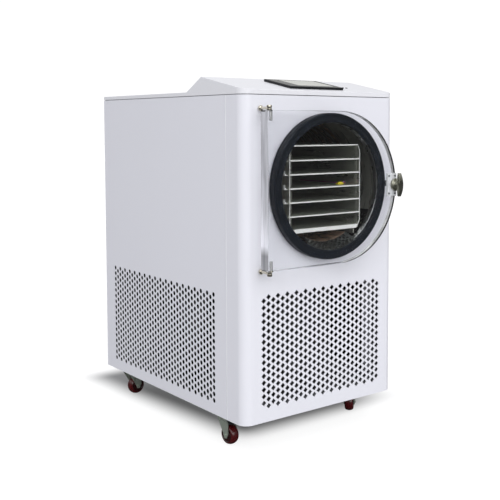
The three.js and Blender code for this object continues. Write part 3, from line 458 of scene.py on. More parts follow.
def wrapped(half, front, back, radius):
    """A U seen from above: from the left end round both front corners to the right end."""
    left, right = [arc((x, front + radius), (radius, radius), start, start + 90, 18)
                   for x, start in ((-half + radius, 180), (half - radius, 270))]
    return [(-half, back), *left, *right, (half, back)]


WALL, ROLL, MOUTH_GAP = 0.0012, 0.027, 0.001
HOLE_PITCH, HOLE_RADIUS = (0.0146, 0.0169), 0.0072
FRONT_COLUMNS, FRONT_ROWS, FRONT_TOP = 14, 16, 0.3815
white_coat = grained("white_powder_coat", (0.80, 0.80, 0.85), 0.36, relief=(1100, 0.000012), drift=(0.025, 3))
cover_low, cover_high = corners("front_cover")
face_y = cover_low.y
outer = wrapped(cover_high.x, cover_low.y, cover_high.y, ROLL)
inner = wrapped(cover_high.x - WALL, cover_low.y + WALL, cover_high.y, ROLL - WALL)
chamber_low, chamber_high = corners("chamber_barrel")
axis_z = middle(chamber_low, chamber_high)[2]
hole_radius = (chamber_high.z - chamber_low.z) / 2 + MOUTH_GAP
cover = carved(prism(outer + inner[::-1], cover_low.z, cover_high.z),
               pipe(0, hole_radius, -0.01, 0.01, (0, face_y, axis_z), segments=128))
front_middle = FRONT_TOP - (FRONT_ROWS - 1) * HOLE_PITCH[1] / 2
cover = punched(cover, FRONT_COLUMNS, FRONT_ROWS, FRONT_ROWS + 1, HOLE_PITCH, HOLE_RADIUS, 4,
                (0, face_y, front_middle), (pi / 2, 0, 0), white_coat)
piece("front_cover_sheet", cover, white_coat, "white_paint", ["front_cover"])

# The cover's rear edges are folded back on themselves, and the folds are painted a brighter white than the coat: a
# painted highlight along each edge.
fold_white = grained("fold_white", (0.95, 0.95, 0.97), 0.3, relief=(1100, 0.000008), drift=(0.02, 4))
FOLD_IN, FOLD_OUT, SIDES = 0.0008, 0.0003, (("left", -1), ("right", 1))
for name, side in SIDES:
    edge_x, edge_y = side * cover_high.x, cover_high.y
    fold = [(edge_x - side * FOLD_IN, edge_y - 0.0022), (edge_x + side * FOLD_OUT, edge_y - 0.0019),
            (edge_x + side * FOLD_OUT, edge_y - 0.0003), (edge_x - side * FOLD_IN, edge_y - 0.0001)]
    piece("cover_fold_" + name, prism(fold, cover_low.z, cover_high.z), fold_white, "white_paint")

# ------------------------ side and rear panels
# Flat sheets of the same coated steel behind the front cover, with the same punched holes low
# down where the cooling unit draws its air. The rear sheet closes the back and carries the fittings.
SIDE_COLUMNS, SIDE_ROWS, SIDE_TOP, SIDE_BACK = 19, 17, 0.3851, 0.3934
SIDE_PITCH, SIDE_RADIUS = (0.01462, HOLE_PITCH[1]), 0.0064
side_y, side_z = face_y + SIDE_BACK, SIDE_TOP - (SIDE_ROWS - 1) * SIDE_PITCH[1] / 2


def rectangle(a0, b0, a1, b1):
    return [(a0, b0), (a1, b0), (a1, b1), (a0, b1)]


for name, side in SIDES:
    low, high = corners(name + "_side_panel")
    face = low.x if side < 0 else high.x
    sheet = prism(rectangle(low.y, low.z, high.y, high.z), *sorted((face, face - side * WALL)), "X")
    sheet = punched(sheet, SIDE_COLUMNS, SIDE_ROWS, SIDE_ROWS - 1, SIDE_PITCH, SIDE_RADIUS, 8,
                    (face, side_y, side_z), (pi / 2, 0, pi / 2), white_coat)
    piece(name + "_side_sheet", sheet, white_coat, "white_paint", [name + "_side_panel"])

REAR_COLUMNS, REAR_ROWS, REAR_VENT_X = 9, 16, 0.08
low, high = corners("rear_panel")
sheet = prism(rectangle(low.x, low.z, high.x, high.z), high.y - WALL, high.y, "Y")
sheet = punched(sheet, REAR_COLUMNS, REAR_ROWS, REAR_ROWS + 1, HOLE_PITCH, HOLE_RADIUS, 4,
                (REAR_VENT_X, high.y, front_middle), (pi / 2, 0, 0), white_coat)
piece("rear_sheet", sheet, white_coat, "white_paint", ["rear_panel"])

# The rear panel is held by two rows of pan head screws with a cross slot.


def slab(low, high):
    """A block between its low and its high corner."""
    return prism(rectangle(low[0], low[1], high[0], high[1]), low[2], high[2])


def field_tree():
    """Copies of the incoming mesh on the points of a flat grid."""
    tree, given = new_tree(
        "fastener_field", "GeometryNodeTree",
        (("Geometry", "Geometry"), ("Columns", "Int"), ("Rows", "Int"), ("Width", "Float"), ("Height", "Float"),
         ("Centre", "Vector"), ("Turn", "Rotation"), ("Material", "Material")),
        (("Geometry", "Geometry"),))
    lattice = made(tree, "GeometryNodeMeshGrid", {"Vertices X": given["Columns"], "Vertices Y": given["Rows"],
                                                  "Size X": given["Width"], "Size Y": given["Height"]})
    return given_out(tree, scattered(tree, lattice.outputs["Mesh"], given["Geometry"], given), given)


fields = field_tree()
screw_steel = grained("screw_steel", (0.55, 0.55, 0.54), 0.25, 1.0, relief=(1500, 0.00001), drift=(0.2, 80))
SLOT_WIDE, SLOT_LONG, EDGE_X, EDGE_Z = 0.0004, 0.0018, 0.012, 0.02
pan_head = carved(lathe([(0, 0), (0.0036, 0), (0.0037, 0.0007), (0.0032, 0.0016), (0.002, 0.0021), (0, 0.0022)],
                        (0, 0, 0), "Z", 20),
                  *[slab((-x, -y, 0.0012), (x, y, 0.004))
                    for x, y in ((SLOT_WIDE, SLOT_LONG), (SLOT_LONG, SLOT_WIDE))])
screws = through_tree(fields, pan_head, Columns=2, Rows=6, Width=high.x - low.x - 2 * EDGE_X,
                      Height=high.z - low.z - 2 * EDGE_Z, Centre=(0, high.y, middle(low, high)[2]),
                      Turn=(-pi / 2, 0, 0), Material=screw_steel)
piece("rear_screws", screws, screw_steel, "zinc_plate")

# Thin mats of black open foam are glued behind the side vents as painted shade: a dark sheet that keeps the holes
# dark.
# They fit between the panels and the frame and are a little larger than the field of holes.
filter_foam = grained("filter_foam", (0.004, 0.0045, 0.005), 0.95, relief=(650, 0.0004),
                      drift=(0.5, 200), Specular_IOR_Level=0.1)
MAT_THICK, MAT_GAP, MAT_MARGIN = 0.0009, 0.00005, 0.012
tall, wide = (SIDE_ROWS - 1) * SIDE_PITCH[1] / 2 + MAT_MARGIN, (SIDE_COLUMNS - 1) * SIDE_PITCH[0] + MAT_MARGIN
for name, side in SIDES:
    low, high = corners(name + "_side_panel")
    glued = (low.x if side < 0 else high.x) - side * (WALL + MAT_GAP)
    near, far = sorted((glued, glued - side * MAT_THICK))
    mat = slab((near, side_y - wide, side_z - tall), (far, side_y + wide, side_z + tall))
    piece("filter_mat_" + name, mat, filter_foam, "black_plastic", bevel=0.0002)

# ------------------------ base tray and inner frame
# A galvanised tray closes the bottom. Inside stands a welded frame of square tube with the deck and
# the two saddles for the chamber. Both keep their mill zinc, with its faint crystal pattern.
ZINC, ZINC_ROUGH = (0.56, 0.58, 0.60), 0.38
zinc_sheet, shader = paint("zinc_sheet", ZINC, ZINC_ROUGH, 0.85)
tree = zinc_sheet.node_tree
crystals = made(tree, "ShaderNodeTexVoronoi", {"Scale": 70, "Vector": coordinates(tree)}).outputs
tree.links.new(scaled(tree, ZINC, ranged(tree, crystals["Color"], 0, 1, 0.82, 1.08)), shader.inputs["Base Color"])
tree.links.new(ranged(tree, crystals["Distance"], 0, 1, ZINC_ROUGH - 0.08, ZINC_ROUGH + 0.12),
               shader.inputs["Roughness"])
for node in ("base_tray", "frame"):
    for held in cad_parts[node].material_slots:
        held.material = zinc_sheet

# ------------------------ lid with the console
# One white moulding over the whole top: a low skirt, a console that rises towards the back at
# eleven degrees and falls away behind its ridge. It rests on the frame with a fine dark joint below.
lid_low, lid_high = corners("top_lid")
LIP_TOP, FLAT_TOP, LID_WALL = 0.0115, 0.010, 0.005
RIDGE_BACK, CONSOLE_FOOT = 0.180, 0.250
slope = atan2(lid_high.z - lid_low.z - LIP_TOP, RIDGE_BACK)
white_moulding = grained("white_moulding", (0.80, 0.80, 0.83), 0.32, relief=(700, 0.00001), drift=(0.03, 4))


def lid_shape(inset, low, bottom, top):
    """The lid's outside, or its hollow where it is inset: the side view and the plan together."""
    y0, y1, z0 = face_y + inset, lid_high.y - inset, lid_low.z
    rise = tan(slope) * inset
    profile = [(y0, low), (y0, z0 + LIP_TOP + rise - inset), (face_y + RIDGE_BACK, lid_high.z - inset),
               (face_y + CONSOLE_FOOT, z0 + FLAT_TOP - inset), (y1, z0 + FLAT_TOP - inset), (y1, low)]
    plan = wrapped(lid_high.x - inset, face_y + inset, lid_high.y - inset, ROLL - inset)
    return carved(prism(profile, -0.3, 0.3, "X"), prism(plan, bottom, top), how="INTERSECT")


lid, hollow = lid_shape(0, lid_low.z, 0.8, 1.0), lid_shape(LID_WALL, 0.86, 0.85, 1.0)
up_slope = Matrix.Translation((0, face_y, lid_low.z + LIP_TOP)) @ Matrix.Rotation(slope, 4, "X")
BUTTON_X, LAMP_X, CONTROL_UP, POCKET = 0.121, 0.134, 0.065, 0.0035
pockets = [pipe(0, POCKET, -0.004, 0.004, (x, CONTROL_UP, 0), "Z", 32) for x in (BUTTON_X, LAMP_X)]
for pocket in pockets:
    pocket.transform(up_slope)
piece("lid_moulding", carved(lid, hollow, *pockets), white_moulding, "white_paint", ["top_lid"],
      bevel=0.0022, steps=3, angle=25)

# ------------------------ touch screen
# A black frame stands off the console with a sheet of cover glass let into it. Behind the glass is
# a pale display with a dark printed border. It is clipped into the console from below.
SCREEN_HALF, SCREEN_LOW, SCREEN_HIGH, SCREEN_TOP, SCREEN_RIM = 0.087, 0.024, 0.139, 0.0065, 0.006
SCREEN_FOOT, GLASS_THICK, RIM_DEPTH, GLASS_FIT = 0.0003, 0.0012, 0.0015, 0.0003
black_plastic = grained("black_plastic", (0.006, 0.0065, 0.008), 0.3, relief=(2500, 0.00001),
                        drift=(0.2, 30), Specular_IOR_Level=0.3)


def on_screen(inset, bottom, top):
    """A plate in the console's plane, as large as the screen less an inset all round."""
    return slab((-SCREEN_HALF + inset, SCREEN_LOW + inset, bottom), (SCREEN_HALF - inset, SCREEN_HIGH - inset, top))


bezel = carved(on_screen(0, SCREEN_FOOT, SCREEN_TOP),
               on_screen(SCREEN_RIM, SCREEN_TOP - RIM_DEPTH, SCREEN_TOP + 0.01))
bezel.transform(up_slope)
piece("screen_frame", bezel, black_plastic, "black_plastic", ["screen_bezel"], bevel=0.0009, steps=3)

PICTURE, EDGE_BLUR = ((0.0125, 0.058), (0.006, 0.042)), 0.0008  # centre and half size, across and up
display, shader = paint("display_glass", (0.4, 0.41, 0.37), 0.12, Coat_Weight=0.12, Coat_Roughness=0.02,
                        Specular_IOR_Level=0.15)
tree = display.node_tree
square = made(tree, "ShaderNodeMapping",
              {"Vector": coordinates(tree), "Location": up_slope @ Vector((0, (SCREEN_LOW + SCREEN_HIGH) / 2, 0)),
               "Rotation": (slope, 0, 0)}, vector_type="TEXTURE").outputs[0]
spot, inside = axes(tree, square), []
for axis, (centre, half) in zip("XY", PICTURE):
    away = counted(tree, "ABSOLUTE", counted(tree, "SUBTRACT", spot[axis], centre))
    inside.append(ranged(tree, away, half, half + EDGE_BLUR, 1, 0))
pale = made(tree, "ShaderNodeMapRange", {"Vector": noise(tree, square, 12), 9: (0.78, 0.78, 0.71),
                                         10: (0.88, 0.88, 0.82)}, data_type="FLOAT_VECTOR")
show = made(tree, "ShaderNodeMix", {"Factor": counted(tree, "MULTIPLY", *inside), 6: (0.13, 0.132, 0.125, 1),
                                    7: pale.outputs[1]}, data_type="RGBA")
tree.links.new(show.outputs[2], shader.inputs["Base Color"])
glass = on_screen(SCREEN_RIM + GLASS_FIT, SCREEN_TOP - GLASS_THICK, SCREEN_TOP)
glass.transform(up_slope)
piece("screen_cover_glass", glass, display, "screen_glass", ["screen_glass"], bevel=0.0004)

# ------------------------ push button and status lamp
# A dark turned metal button that travels in its pocket, and beside it a small lamp with a domed
# smoked lens. Both stand two millimetres proud of the console.
button_metal = grained("button_metal", (0.05, 0.05, 0.055), 0.28, 0.8, relief=(3000, 0.00001))
lamp_lens = grained("lamp_lens", (0.05, 0.055, 0.06), 0.1, drift=(0.4, 300), relief=None,
                    Coat_Weight=1.0, Coat_Roughness=0.03)
CAP_R = 0.0032
button = lathe([(0, -0.0022), (CAP_R, -0.0022), (CAP_R, 0.0015), (0.003, 0.0019), (0.0026, 0.002),
                (0.0022, 0.0018), (0.001, 0.0016), (0, 0.0016)], (BUTTON_X, CONTROL_UP, 0), "Z", 48)
dome = lathe([(0, -0.0037), (CAP_R, -0.0037), (CAP_R, 0.0009), (0.0029, 0.0013), (0.0022, 0.0017),
              (0.0012, 0.0019), (0, 0.002)], (LAMP_X, CONTROL_UP, 0), "Z", 48)
button.transform(up_slope)
dome.transform(up_slope)
piece("button_cap", button, button_metal, "button_metal", ["power_button"], "button")
piece("lamp_dome", dome, lamp_lens, "lamp_lens", ["status_lamp"])

# ------------------------ vacuum chamber
# A rolled and welded stainless barrel with a pressed end, a thick flange at its mouth and a soft
# black gasket pushed over the flange. The inside is dark and dull, brushed round the barrel.


def brushed(name, color, rough, stretch, metal=1.0, drift=0.25):
    """Metal with fine lines along the direction in which the stretch is smallest."""
    return grained(name, color, rough, metal, (400, 0.00003), (drift, 50), stretch)


MOUTH_R, BARREL_WALL, ROUND, EASE = 0.160, 0.003, 144, 0.001
axis = (0, face_y, axis_z)
dark_stainless = brushed("dark_stainless", (0.30, 0.305, 0.27), 0.36, (0.2, 2.5, 0.2), 0.62, 0.5)
flange_steel = brushed("flange_steel", (0.5, 0.51, 0.52), 0.3, (1, 1, 1))
barrel_r = hole_radius - MOUTH_GAP
piece("barrel_shell", pipe(barrel_r - BARREL_WALL, barrel_r, 0, chamber_high.y - face_y, axis, segments=ROUND),
      dark_stainless, "stainless", ["chamber_barrel"])
end_low, end_high = corners("chamber_end")
back, rim = end_high.y - face_y, end_low.y - face_y
bend = back - rim
centre = (barrel_r - bend, rim)
dish = [(barrel_r, rim), *arc(centre, (bend, bend), 15, 90, 5), (0, back), (0, back - BARREL_WALL),
        *arc(centre, (bend - BARREL_WALL, bend - BARREL_WALL), 90, 15, 5), (barrel_r - BARREL_WALL, rim)]
piece("pressed_end", lathe(dish, axis, segments=ROUND), dark_stainless, "stainless", ["chamber_end"])
flange_low, flange_high = corners("chamber_flange")
flange_r = (flange_high.x - flange_low.x) / 2
front, rear = flange_low.y - face_y, flange_high.y - face_y
flange = [(MOUTH_R, front + EASE), (MOUTH_R + EASE, front), (flange_r - EASE, front), (flange_r, front + EASE),
          (flange_r, rear - EASE), (flange_r - EASE, rear), (MOUTH_R + EASE, rear), (MOUTH_R, rear - EASE)]
piece("mouth_flange", lathe(flange, axis, segments=ROUND), flange_steel, "stainless", ["chamber_flange"])

rubber = grained("gasket_rubber", (0.004, 0.007, 0.0125), 0.45, relief=(1800, 0.00003),
                 drift=(0.35, 25), Specular_IOR_Level=0.22)
low, high = corners("door_gasket")
SEAL_GAP = 0.0003
seal_r = (high.x - low.x) / 2
face, skirt = low.y - face_y, high.y - face_y
seal = [(MOUTH_R, front - SEAL_GAP), *[(r, face + h) for r, h in (
    (MOUTH_R, 0.003), (MOUTH_R + EASE, EASE), (MOUTH_R + 0.003, 0), (MOUTH_R + 0.007, 0), (MOUTH_R + 0.009, 0.0012),
    (seal_r - 0.009, 0.0012), (seal_r - 0.007, 0), (seal_r - 0.003, 0), (seal_r - EASE, EASE), (seal_r, 0.003),
    (seal_r, 0.012), (seal_r - 0.0006, 0.013), (seal_r, 0.014))], (seal_r, skirt - EASE), (seal_r - EASE, skirt),
    (flange_r + SEAL_GAP, skirt), (flange_r + SEAL_GAP, front - SEAL_GAP)]
piece("seal_ring", lathe(seal, axis, segments=ROUND), rubber, "gasket_rubber", ["door_gasket"], angle=50)

# ------------------------ guard and evaporator coil
# A bent sheet with round holes lies over the floor of the mouth and keeps trays off the ice. The
# coil is copper tube wound against the barrel, dulled brown by many cycles of frost.
guard_steel = brushed("guard_steel", (0.03, 0.031, 0.029), 0.4, (1, 1, 1))
ramp_steel = brushed("ramp_steel", (0.15, 0.16, 0.155), 0.38, (1, 1, 1))
GUARD_ANGLE, GUARD_R, GUARD_SHEET, GUARD_HOLE = 65, 0.1605, 0.0015, 0.0036


def bent_strip(width, length, sheet, strips, bend, along, coat, *field):
    """A flat strip, punched round a place along it, and bent by a function of across, along and up."""
    bm = bmesh.new()
    rows = [[bm.verts.new((width * (k / strips - 0.5), y, h)) for k in range(strips + 1)]
            for y, h in ((0, 0), (length, 0), (length, -sheet), (0, -sheet))]
    for a, b in zip(rows, rows[1:] + rows[:1]):
        for k in range(strips):
            bm.faces.new((a[k], a[k + 1], b[k + 1], b[k]))
    for k in (0, strips):
        bm.faces.new([row[k] for row in rows])
    flat = punched(closed(bm), *field, GUARD_HOLE, 12, (0, along, 0), (0, 0, 0), coat)
    for vertex in flat.vertices:
        vertex.co = bend(*vertex.co)
    bm = bmesh.new()
    bm.from_mesh(flat)
    return closed(bm)


low, high = corners("ice_guard")
length = high.y - low.y
guard = bent_strip(GUARD_R * radians(2 * GUARD_ANGLE), length, GUARD_SHEET, 52,
                   lambda u, y, h: ((GUARD_R - h) * sin(u / GUARD_R), low.y + y,
                                    axis_z - (GUARD_R - h) * cos(u / GUARD_R)),
                   length / 2, guard_steel, 14, 8, 7, (0.0128, 0.0102))
piece("perforated_guard", guard, guard_steel, "stainless", ["ice_guard"], angle=30)

# A second perforated strip rises from the mouth as a low ramp that throws drips back inside, and a
# plain dull sheet goes on from its top as the floor below the rack.
RAMP_ANGLE, RAMP_REACH, RAMP_SLOPE, RAMP_SHEET = 30, 0.036, radians(30), 0.0012
RAMP_FRONT, RAMP_GAP, FLOOR_LAP, FLOOR_LONG = -0.0225, 0.0008, 0.0005, 0.235
ramp_r = MOUTH_R - RAMP_GAP


def up_ramp(u, y, h):
    radius = ramp_r - y * sin(RAMP_SLOPE) - h
    return (radius * sin(u / ramp_r), low.y + RAMP_FRONT + y * cos(RAMP_SLOPE),
            axis_z - radius * cos(u / ramp_r))


ramp = bent_strip(ramp_r * radians(2 * RAMP_ANGLE), RAMP_REACH, RAMP_SHEET, 36, up_ramp,
                  RAMP_REACH * 0.49, ramp_steel, 10, 3, 2, (0.0078, 0.0134))
piece("perforated_ramp", ramp, ramp_steel, "stainless", angle=30)
ramp_top = low.y + RAMP_FRONT + RAMP_REACH * cos(RAMP_SLOPE)
floor_r = ramp_r - RAMP_REACH * sin(RAMP_SLOPE)
outline = [point for r, start, stop in ((floor_r, -120, -60), (floor_r + RAMP_SHEET, -60, -120))
           for point in arc((0, axis_z), (r, r), start, stop, 24)]
floor_dull = brushed("floor_dull", (0.62, 0.45, 0.34), 0.3, (2, 0.3, 1), 0.8, 0.5)
piece("drip_floor", prism(outline, ramp_top - FLOOR_LAP, ramp_top + FLOOR_LONG, "Y"), floor_dull, "stainless",
      angle=20)


def tube(points, radius, sides=10):
    """A round tube or wire along a line of points, closed at both ends."""
    points = [Vector(p) for p in points]
    rings, normal = [], None
    for i, point in enumerate(points):
        way = (points[min(i + 1, len(points) - 1)] - points[max(i - 1, 0)]).normalized()
        normal = normal or way.orthogonal().normalized()
        normal = (normal - way * normal.dot(way)).normalized()
        other = way.cross(normal)
        rings.append([point + radius * (normal * cos(t) + other * sin(t))
                      for t in (2 * pi * k / sides for k in range(sides))])
    return skinned(rings)


COIL_TUBE, COIL_PITCH, COIL_GAP, COIL_START, COIL_STOP, COIL_STEPS = 0.004, 0.030, 0.0048, 0.092, 0.385, 680
coil_r = barrel_r - BARREL_WALL - COIL_GAP
turns = (COIL_STOP - COIL_START) / COIL_PITCH
line = [(coil_r * sin(t), face_y + COIL_START + COIL_PITCH * t / (2 * pi), axis_z - coil_r * cos(t))
        for t in (2 * pi * turns * k / COIL_STEPS for k in range(COIL_STEPS + 1))]
copper = grained("aged_copper", (0.10, 0.055, 0.035), 0.4, 1.0, relief=(500, 0.00004), drift=(0.9, 22))
piece("copper_coil", tube(line, COIL_TUBE, 12), copper, "copper", ["evaporator_coil"])

# ------------------------ shelf rack
# Two bent side plates of thin stainless sheet with the heated shelves riveted between them: a top
# shelf, five in the middle and a thicker base. The rack slides in on two rails and lifts out.
rack_steel = brushed("rack_steel", (0.5, 0.51, 0.45), 0.32, (1, 0.15, 1), 0.75)
shelf_plate = brushed("shelf_plate", (0.5, 0.52, 0.45), 0.36, (0.15, 1.6, 1), 0.7)
cut_edge = grained("cut_edge", (0.93, 0.94, 0.90), 0.35, 0.15, relief=(1500, 0.00001), drift=(0.12, 60))
MIDDLE = ["shelf_1", "shelf_2", "shelf_3", "shelf_4", "shelf_5"]
FLAT_ANGLE = radians(0.5)


def eased(name, node, material, slot, body="cabinet", **how):
    """A piece with the CAD node's own shape, its loose triangles joined into whole faces."""
    bm = bmesh.new()
    bm.from_mesh(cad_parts[node].data)
    bmesh.ops.remove_doubles(bm, verts=bm.verts, dist=1e-6)
    bmesh.ops.dissolve_limit(bm, angle_limit=FLAT_ANGLE, verts=bm.verts, edges=bm.edges)
    return piece(name, closed(bm), material, slot, [node], body, **how)


for name in ("rack_side_left", "rack_side_right", "shelf_top", *MIDDLE, "shelf_base"):
    material, slot = (rack_steel, "rack_steel") if name.startswith("rack") else (shelf_plate, "shelf_aluminium")
    obj = eased(name + "_plate", name, material, slot, bevel=0.0004, steps=3, angle=20)
    # Faces turned to the front take a near-white material, a painted sheen along the shelves' front edges.
    obj.data.materials.append(cut_edge)
    for face in obj.data.polygons:
        face.material_index = int(face.normal.y < -0.5)
for name in ("rack_rail_left", "rack_rail_right"):
    eased(name + "_bar", name, dark_stainless, "stainless", bevel=0.0004)

# A slim flat post stands between one shelf and the next at each side, just inside the side plate.


def joined(*meshes):
    """Several meshes as one."""
    bm = bmesh.new()
    for mesh in meshes:
        bm.from_mesh(mesh)
    return meshed(bm)


POST_INSET, POST_WIDE, POST_DEEP, POST_BACK, POST_GAP = 0.0062, 0.0008, 0.008, 0.004, 0.0001
ladder = [corners(name) for name in ("shelf_base", *MIDDLE, "shelf_top")]
inner_x = corners("shelf_3")[0].x + POST_INSET
posts = []
for (_, under), (over, _) in zip(ladder, ladder[1:]):
    y, bottom, top = over.y + POST_BACK, under.z + POST_GAP, over.z - POST_GAP
    posts += [slab((x, y, bottom), (x + POST_WIDE, y + POST_DEEP, top)) for x in (inner_x, -inner_x - POST_WIDE)]
piece("rack_posts", joined(*posts), rack_steel, "rack_steel", bevel=0.0002)

# Small fittings of the rack: a bent terminal strip beside the left end of each middle shelf, a
# temperature probe under these and the top one, and a yellow plug with its two coloured wires.
STRIP_OUT, STRIP_SHEET, STRIP_DEEP, STRIP_DROP, STRIP_RISE = 0.0105, 0.0012, 0.008, 0.0023, 0.0085
PROBE_X, PROBE_BACK, PROBE_SUNK = 0.040, 0.042, 0.0002
outer_x, outer_y = corners("rack_side_left")[0].xy
strips, probes = [], []
for name in MIDDLE:
    x, y, z = outer_x, outer_y + 0.006, corners(name)[1].z
    foot, far = z - STRIP_DROP, x - STRIP_OUT
    strips += [slab((far, y, foot - STRIP_SHEET), (x - 0.0001, y + STRIP_DEEP, foot)),
               slab((far, y, foot), (far + STRIP_SHEET, y + STRIP_DEEP, z + STRIP_RISE)),
               lathe([(0, 0), (0.0018, 0), (0.0018, 0.0022), (0.0009, 0.003), (0, 0.003)],
                     (x - 0.0055, y + STRIP_DEEP / 2, foot), "Z", 16)]
for name in (*MIDDLE, "shelf_top"):
    low, _ = corners(name)
    y, z = low.y + PROBE_BACK, low.z + PROBE_SUNK
    probes += [lathe([(0, 0), (0.0011, 0), (0.0011, -0.0080), (0.0007, -0.0090), (0, -0.0090)], (PROBE_X, y, z),
                     "Z", 16),
               slab((PROBE_X - 0.006, y - 0.004, z - 0.0014), (PROBE_X + 0.006, y + 0.004, z))]
# The strips take the same near-white painted sheen as the shelf edges.
piece("terminal_strips", joined(*strips), cut_edge, "rack_steel", bevel=0.0002)
piece("shelf_probes", joined(*probes), rack_steel, "rack_steel", angle=40)

low, high = corners("shelf_3")
plug_yellow, wire_violet, wire_red = [
    grained(name, color, rough, relief=(900, 0.00001), drift=(0.1, 80))
    for name, color, rough in (("plug_yellow", (0.75, 0.62, 0.03), 0.35), ("wire_violet", (0.30, 0.13, 0.42), 0.4),
                               ("wire_red", (0.42, 0.05, 0.03), 0.4))]
plug = joined(slab((0.068, low.y + 0.030, high.z + 0.0002), (0.086, low.y + 0.039, high.z + 0.0052)),
              slab((0.072, low.y + 0.031, high.z + 0.0052), (0.082, low.y + 0.038, high.z + 0.0072)))
piece("sensor_plug", plug, plug_yellow, "black_plastic", bevel=0.0005)
for label, material, rise in (("violet", wire_violet, 0.0058), ("red", wire_red, 0.0026)):
    y, z = low.y + 0.0345, high.z + 0.0016
    path = [(0.0855, y, z + 0.002), (0.092, y + 0.001, z + rise), (0.099, y + 0.004, z + rise * 0.8),
            (0.104, y + 0.016, z + 0.0006), (0.106, y + 0.060, z), (0.107, y + 0.200, z)]
    piece("sensor_wire_" + label, tube(path, 0.0013, 8), material, "black_plastic", angle=60)

# ------------------------ door
# One thick plate of clear cast acrylic, straight on the hinge side and half round on the latch
# side, with polished edges. The latch holds it on the gasket until the vacuum presses it home.


def clear_plastic(name, tint, rough):
    """Clear plastic that lets lamp light through, with faint handling marks."""
    material = grained(name, tint, rough, drift=(0.02, 60), relief=None, Transmission_Weight=1.0, IOR=1.49)
    tree = material.node_tree
    through = made(tree, "ShaderNodeBsdfTransparent", {"Color": (*[0.93 * t for t in tint], 1)})
    shadow = made(tree, "ShaderNodeLightPath").outputs["Is Shadow Ray"]
    tree.links.new(mixed(tree, shadow, tree.nodes["Principled BSDF"].outputs["BSDF"], through.outputs["BSDF"]),
                   tree.nodes["Material Output"].inputs["Surface"])
    return material


CORNER, BORE, BORE_DEEP, SPINDLE_BORE, LATCH_X = 0.005, 0.0043, 0.0243, 0.0053, 0.196
acrylic = clear_plastic("cast_acrylic", (0.985, 0.99, 1.0), 0.012)
low, high = corners("door_plate")
door_z, half = middle(low, high)[2], (high.z - low.z) / 2
arc_x = high.x - half
shape = arc((arc_x, door_z), (half, half), -90, 90, 120)
for z, start in ((high.z - CORNER, 90), (low.z + CORNER, 180)):
    shape += arc((low.x + CORNER, z), (CORNER, CORNER), start, start + 90, 6)
pin_x, pin_y, _ = middle(*corners("hinge_pin_upper"))
knob_low, knob_high = corners("latch_handle")
latch_z = middle(knob_low, knob_high)[2]
bores = [pipe(0, BORE, h0, h1, (pin_x, pin_y, door_z), "Z", 32)
         for h0, h1 in ((half - BORE_DEEP, half + 0.01), (-half - 0.01, -half + BORE_DEEP))]
spindle = pipe(0, SPINDLE_BORE, -0.1, 0.1, (LATCH_X, face_y, latch_z), segments=32)
door = carved(prism(shape, low.y, high.y, "Y"), *bores, spindle)
plate = piece("acrylic_door", door, acrylic, "door_acrylic", ["door_plate"], "door", 0.0007, angle=30)

# Its straight edge is a hazy grey with painted highlights: bright bands at fixed heights and a painted mottle stand
# in for the light seen through the plate. Its round edge is a painted highlight, bright at the back.
edge_haze, shader = paint("edge_haze", (0.62, 0.62, 0.68), 0.22, Specular_IOR_Level=0.4)
tree = edge_haze.node_tree
rise = ranged(tree, axes(tree, coordinates(tree))["Z"], low.z, high.z)
tone = ramped(tree, rise, ((0.0, 0.50), (0.10, 0.36), (0.16, 0.98), (0.60, 0.52), (1.0, 0.62)), (0.97, 0.97, 1.03))
cloud = noise(tree, stretched(tree, (1, 1.6, 0.14)), 55, 6)
tree.links.new(scaled(tree, tone, ranged(tree, cloud, 0.35, 0.68, 0.72, 1.2)), shader.inputs["Base Color"])
# Painted highlight on the round edge: near white towards the back with brighter spots, and a dark line at the
# front.
edge_bright, shader = paint("edge_bright", (0.85, 0.85, 0.88), 0.2, Specular_IOR_Level=0.3)
tree = edge_bright.node_tree
band = ranged(tree, axes(tree, coordinates(tree))["Y"], low.y + 0.010, low.y + 0.0125, 0.012, 0.85)
highlight_spots = ranged(tree, noise(tree, coordinates(tree), 28), 0.4, 0.65, 0.75, 1.15)
tree.links.new(counted(tree, "MULTIPLY", band, highlight_spots), shader.inputs["Base Color"])
plate.data.materials.append(edge_haze)
plate.data.materials.append(edge_bright)
for face in plate.data.polygons:
    x, _, z = face.center
    if face.normal.x < -0.9 and x < low.x + 0.0002:
        face.material_index = 1
    elif abs(face.normal.y) < 0.05 and x > arc_x + 0.01 and hypot(x - arc_x, z - door_z) > half - 0.0006:
        face.material_index = 2

